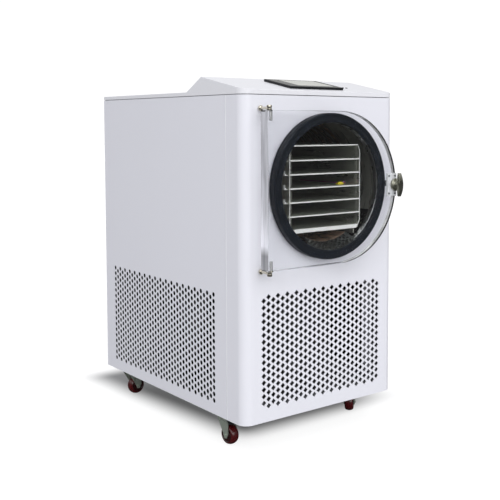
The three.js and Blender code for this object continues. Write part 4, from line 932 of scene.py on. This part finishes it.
# ------------------------ door hinges
# Turned and nickel plated brass: a post with a round foot is screwed into the cabinet and ends in a
# collar. A steel pin drops through the collar into a blind bore in the door, above and below.
nickel = grained("nickel_brass", (0.66, 0.62, 0.52), 0.16, 1.0, relief=(1500, 0.00001), drift=(0.2, 60))
pin_steel = brushed("pin_steel", (0.86, 0.86, 0.85), 0.2, (1, 1, 0.1), 0.55)
POST_R, FOOT_R, COLLAR_R, PIN_R, PIN_EASE, GROOVE = 0.004, 0.007, 0.0065, 0.004, 0.0006, 0.0007
for name in ("upper", "lower"):
    low, high = corners("hinge_bracket_" + name)
    level, tall = middle(low, high)[2], (high.z - low.z) / 2
    collar = lathe([(BORE, -tall), (COLLAR_R - EASE, -tall), (COLLAR_R, -tall + EASE), (COLLAR_R, -0.0015),
                    (COLLAR_R - GROOVE, -0.001), (COLLAR_R - GROOVE, 0.001), (COLLAR_R, 0.0015),
                    (COLLAR_R, tall - EASE), (COLLAR_R - EASE, tall), (BORE, tall)], (pin_x, pin_y, level), "Z", 48)
    reach = pin_y + 0.0052 - face_y
    foot = arc((POST_R - 0.0005, -0.0050), (FOOT_R - POST_R + 0.0005, 0.0042), -90, 90, 10)
    post = lathe([(0, reach), (POST_R - 0.0005, reach), *foot, (POST_R, -0.0003), (0, -0.0003)],
                 (pin_x, face_y, level), segments=48)
    piece("hinge_" + name, joined(collar, post), nickel, "nickel_brass", ["hinge_bracket_" + name],
          bevel=0.0003, angle=50)
    low, high = corners("hinge_pin_" + name)
    a, b, narrow = low.z - level, high.z - level, PIN_R - PIN_EASE
    pin = lathe([(0, a), (narrow, a), (PIN_R, a + PIN_EASE), (PIN_R, b - PIN_EASE), (narrow, b), (0, b)],
                (pin_x, pin_y, level), "Z", 40)
    piece("hinge_rod_" + name, pin, pin_steel, "nickel_brass", ["hinge_pin_" + name])

# ------------------------ latch
# A clear block screwed to the door guides the spindle of a cast stainless T grip. Turning the grip
# a quarter swings the cam behind the hooked keeper beside the gasket and draws the door shut.
frosted = clear_plastic("latch_acrylic", (0.93, 0.94, 0.95), 0.22)
frosted.node_tree.nodes["Principled BSDF"].inputs["Transmission Weight"].default_value = 0.6
cast_steel = grained("cast_steel", (0.36, 0.36, 0.30), 0.3, 1.0, relief=(900, 0.00005), drift=(0.3, 60))
black_steel = grained("black_steel", (0.05, 0.055, 0.06), 0.38, 0.7, relief=(1200, 0.00002), drift=(0.3, 80))
SPINDLE_R, SPINDLE_END, HUB_R, HUB_BACK, NECK_R = 0.005, -0.0093, 0.0165, -0.0592, 0.009
axis = (LATCH_X, face_y, latch_z)
eased("latch_guide", "latch_block", frosted, "latch_acrylic", "door", bevel=0.0008, steps=3)
piece("latch_spindle", pipe(0, SPINDLE_R, SPINDLE_END, HUB_BACK, axis, segments=40), black_steel, "dark_steel",
      body="latch")
GRIP_HALF, GRIP_TIP, GRIP_WAIST, GRIP_THICK, GRIP_BOW = 0.0305, 0.0045, 0.0075, 0.010, 0.0055
grip_back = knob_low.y - face_y + GRIP_THICK
stem = lathe([(0, HUB_BACK), (HUB_R, HUB_BACK), (HUB_R, HUB_BACK - 0.0045), (HUB_R - 0.0012, HUB_BACK - 0.0058),
              (0.0105, HUB_BACK - 0.0066), (0.0085, HUB_BACK - 0.009), (NECK_R, grip_back - 0.0005),
              (NECK_R, grip_back - 0.001), (0, grip_back - 0.001)], axis, segments=64)
steps = [GRIP_HALF * (k / 12 - 1) for k in range(25)]
side = [(GRIP_TIP + (GRIP_WAIST - GRIP_TIP) * (1 - (z / GRIP_HALF) ** 2), z) for z in steps]
outline = [(LATCH_X + x, latch_z + z) for x, z in side] + [(LATCH_X - x, latch_z + z) for x, z in reversed(side)]
bow = [(knob_low.y + GRIP_BOW * (z / GRIP_HALF) ** 2, latch_z + z) for z in steps]
bow += [(knob_low.y + GRIP_THICK, latch_z + GRIP_HALF), (knob_low.y + GRIP_THICK, latch_z - GRIP_HALF)]
grip = carved(prism(outline, knob_low.y - 0.001, knob_low.y + GRIP_THICK + 0.001, "Y"),
              prism(bow, LATCH_X - 0.02, LATCH_X + 0.02, "X"), how="INTERSECT")
piece("latch_grip", joined(stem, grip), cast_steel, "handle_steel", ["latch_handle"], "latch", 0.0018, 4, 50)
low, high = corners("latch_block")
screws = [lathe([(0, 0), (0.0011, 0), (0.0011, 0.0008), (0.0017, 0.0008), (0.0026, 0.0003), (0.0028, -0.0006),
                 (0.0024, -0.0014), (0.0014, -0.0018), (0, -0.0018)], (x, low.y + 0.0006, z), segments=20)
          for x in (low.x + 0.005, high.x - 0.006) for z in (low.z + 0.007, high.z - 0.007)]
piece("latch_screws", joined(*screws), black_steel, "dark_steel", body="door", angle=40)
eased("latch_tongue", "latch_cam", black_steel, "dark_steel", "latch", bevel=0.0003)
eased("latch_hook", "latch_keeper", black_steel, "dark_steel", bevel=0.0002)

# ------------------------ casters
# Four swivel casters on zinc plated plates under the tray: pressed forks on a ball race, dark red
# polyurethane treads on moulded cores, and black brake pedals on the two casters at the left.
zinc_plate = grained("zinc_plate", (0.42, 0.47, 0.40), 0.3, 0.5, relief=(900, 0.00003), drift=(0.25, 50))
tread_red = grained("tread_red", (0.075, 0.005, 0.006), 0.22, relief=(700, 0.00002), drift=(0.3, 60),
                    Coat_Weight=0.5, Coat_Roughness=0.12)
core_dark = grained("wheel_core", (0.03, 0.005, 0.006), 0.3, relief=(900, 0.00003), drift=(0.3, 70))
WHEEL_R, WHEEL_HALF, AXLE_BORE, CROWN, TRAIL = 0.025, 0.012, 0.0043, 0.0062, 0.018
PLATE_THICK, BOLT_EDGE, HUB, WEB = 0.0025, 0.008, 0.0085, 0.002
tread_line = arc((WHEEL_R - CROWN, 0), (CROWN, WHEEL_HALF), -90, 90, 20)
core_half = [(AXLE_BORE, WHEEL_HALF), (HUB, WHEEL_HALF), (HUB + 0.001, WHEEL_HALF - WEB),
             (WHEEL_R - 0.008, WHEEL_HALF - WEB), (WHEEL_R - 0.0065, WHEEL_HALF - 0.0004),
             (WHEEL_R - 0.0061, WHEEL_HALF - 0.0004)]
core_line = [(r, -h) for r, h in core_half] + core_half[::-1]
for name, heading in (("front_left", -86), ("front_right", -137), ("rear_left", 6), ("rear_right", 60)):
    top, fork, wheel = "caster_plate_" + name, "caster_fork_" + name, "wheel_" + name
    low, high = corners(top)
    x, y, _ = middle(low, high)
    eased("caster_top_" + name, top, zinc_plate, "zinc_plate", bevel=0.0006)
    eased("caster_yoke_" + name, fork, zinc_plate, "zinc_plate", "fork_" + name, bevel=0.0006, angle=25)
    bolts = through_tree(fields, pan_head, Columns=2, Rows=2, Width=high.x - low.x - 2 * BOLT_EDGE,
                         Height=high.y - low.y - 2 * BOLT_EDGE, Centre=(x, y, high.z - PLATE_THICK),
                         Turn=(pi, 0, 0), Material=screw_steel)
    piece("caster_bolts_" + name, bolts, screw_steel, "zinc_plate")
    place = Matrix.Translation((x, y, 0)) @ Matrix.Rotation(radians(heading), 4, "Z") @ \
        Matrix.Translation((TRAIL, 0, WHEEL_R))
    tread, core = lathe(tread_line, (0, 0, 0), segments=72), lathe(core_line, (0, 0, 0), segments=48)
    tread.transform(place)
    core.transform(place)
    piece("caster_tread_" + name, tread, tread_red, "wheel_red", ["caster_" + wheel], wheel, angle=60)
    piece("caster_core_" + name, core, core_dark, "wheel_red", body=wheel, angle=40)
    if name.endswith("left"):
        eased("brake_pedal_" + name, "caster_pedal_" + name, black_steel, "dark_steel", "pedal_" + name,
              bevel=0.0009, steps=3)

# ------------------------ cooling unit
# Behind the front vents stands the finned radiator with its fan and shroud, and behind them on
# the tray the black compressor shell and the grey control box.
FIN_GAP, FIN_SHEET, END_PLATE = 0.004, 0.0005, 0.0015
TUBE_ROWS, TUBE_STEP, TUBE_FIRST, TUBE_IN, TUBE_R = 11, 0.026, 0.020, 0.010, 0.0045
fin_metal = brushed("fin_aluminium", (0.45, 0.46, 0.47), 0.4, (1, 1, 1))
low, high = corners("radiator")
size = high - low
count = int((high.x - low.x - 2 * END_PLATE) / FIN_GAP) - 1
fins = through_tree(fields, slab((-FIN_SHEET / 2, *size.yz / -2), (FIN_SHEET / 2, *size.yz / 2)), Columns=count,
                    Rows=1, Width=(count - 1) * FIN_GAP, Height=0.0, Turn=(0, 0, 0), Material=fin_metal,
                    Centre=(low.x + END_PLATE + FIN_GAP * (count + 1) / 2, *middle(low, high)[1:]))
ends = [slab(low, (low.x + END_PLATE, high.y, high.z)), slab((high.x - END_PLATE, low.y, low.z), high)]
piece("radiator_core", joined(*ends, fins), fin_metal, "radiator_aluminium", ["radiator"])
passes = [tube([(low.x + 0.0006, y, z), (high.x - 0.0006, y, z)], TUBE_R)
          for z in (low.z + TUBE_FIRST + TUBE_STEP * k for k in range(TUBE_ROWS))
          for y in (low.y + TUBE_IN, high.y - TUBE_IN)]
piece("radiator_tubes", joined(*passes), copper, "copper")
box_grey = grained("box_grey", (0.55, 0.57, 0.60), 0.42)
for name, node, material, slot, bevel in (
        ("fan_shroud_part", "fan_shroud", black_plastic, "black_plastic", 0.0008),
        ("fan_motor_part", "fan_motor", black_steel, "dark_steel", 0.0012),
        ("control_box_part", "control_box", box_grey, "box_grey", 0.0015),
        ("fan_rotor", "fan", black_plastic, "black_plastic", 0.0005)):
    eased(name, node, material, slot, "fan" if node == "fan" else "cabinet", bevel=bevel, angle=30)
DOME, DOME_TALL, SEAM = 0.045, 0.055, 0.003
low, high = corners("compressor")
r, tall = (high.x - low.x) / 2, high.z - low.z
shell = [(0, 0), (r - 0.008, 0), (r - 0.002, 0.004), (r, 0.012), (r, tall * 0.52), (r, tall * 0.53),
         (r - SEAM, tall * 0.55), (r - SEAM, tall - DOME_TALL),
         *arc((r - SEAM - DOME, tall - DOME_TALL), (DOME, DOME_TALL), 15, 90, 5), (0, tall)]
compressor_black = grained("compressor_black", (0.012, 0.012, 0.013), 0.34, 0.2, relief=(500, 0.00006))
piece("compressor_shell", lathe(shell, (*middle(low, high)[:2], low.z), "Z", 72), compressor_black,
      "compressor_black", ["compressor"], angle=40)

# ------------------------ fittings on the rear
# The vacuum pipe runs from the chamber's end to a clamped stub on the rear panel, where the pump
# hose joins. Low at the left sits the moulded mains inlet.
steel = brushed("fitting_steel", (0.6, 0.61, 0.62), 0.25, (1, 1, 1))
low, high = corners("vacuum_port")
x, _, z = middle(low, high)
foot = [(0, 0), (0.027, 0), (0.028, 0.001), (0.028, 0.0035), (0.027, 0.004), (0.0155, 0.005), (0.014, 0.0065)]
clamp = [(0.014, 0.0095), (0.0165, 0.0065), (0.0195, 0.0055), (0.020, 0.005), (0.020, 0.001), (0.0195, 0),
         (0.0135, 0), (0.0130, 0.001), (0.0130, 0.006), (0, 0.006)]
port = lathe([(r, low.y - face_y + h) for r, h in foot] + [(r, high.y - face_y - h) for r, h in clamp],
             (x, face_y, z), segments=64)
piece("vacuum_stub", port, steel, "stainless", ["vacuum_port"], angle=40)
low, high = corners("vacuum_pipe")
r = (high.x - low.x) / 2
piece("vacuum_run", pipe(r - BARREL_WALL, r, low.y - face_y, high.y - face_y, (x, face_y, z), segments=48), steel,
      "stainless", ["vacuum_pipe"])
low, high = corners("power_inlet")
x, _, z = middle(low, high)
blades = [slab((x + dx - 0.001, high.y - 0.0031, z + dz - 0.003), (x + dx + 0.001, high.y - 0.0004, z + dz + 0.003))
          for dx, dz in ((-0.008, -0.004), (0.008, -0.004), (0, 0.006))]
eased("mains_inlet", "power_inlet", black_plastic, "black_plastic", bevel=0.0008, steps=3)
piece("inlet_pins", joined(*blades), pin_steel, "nickel_brass", bevel=0.0002)
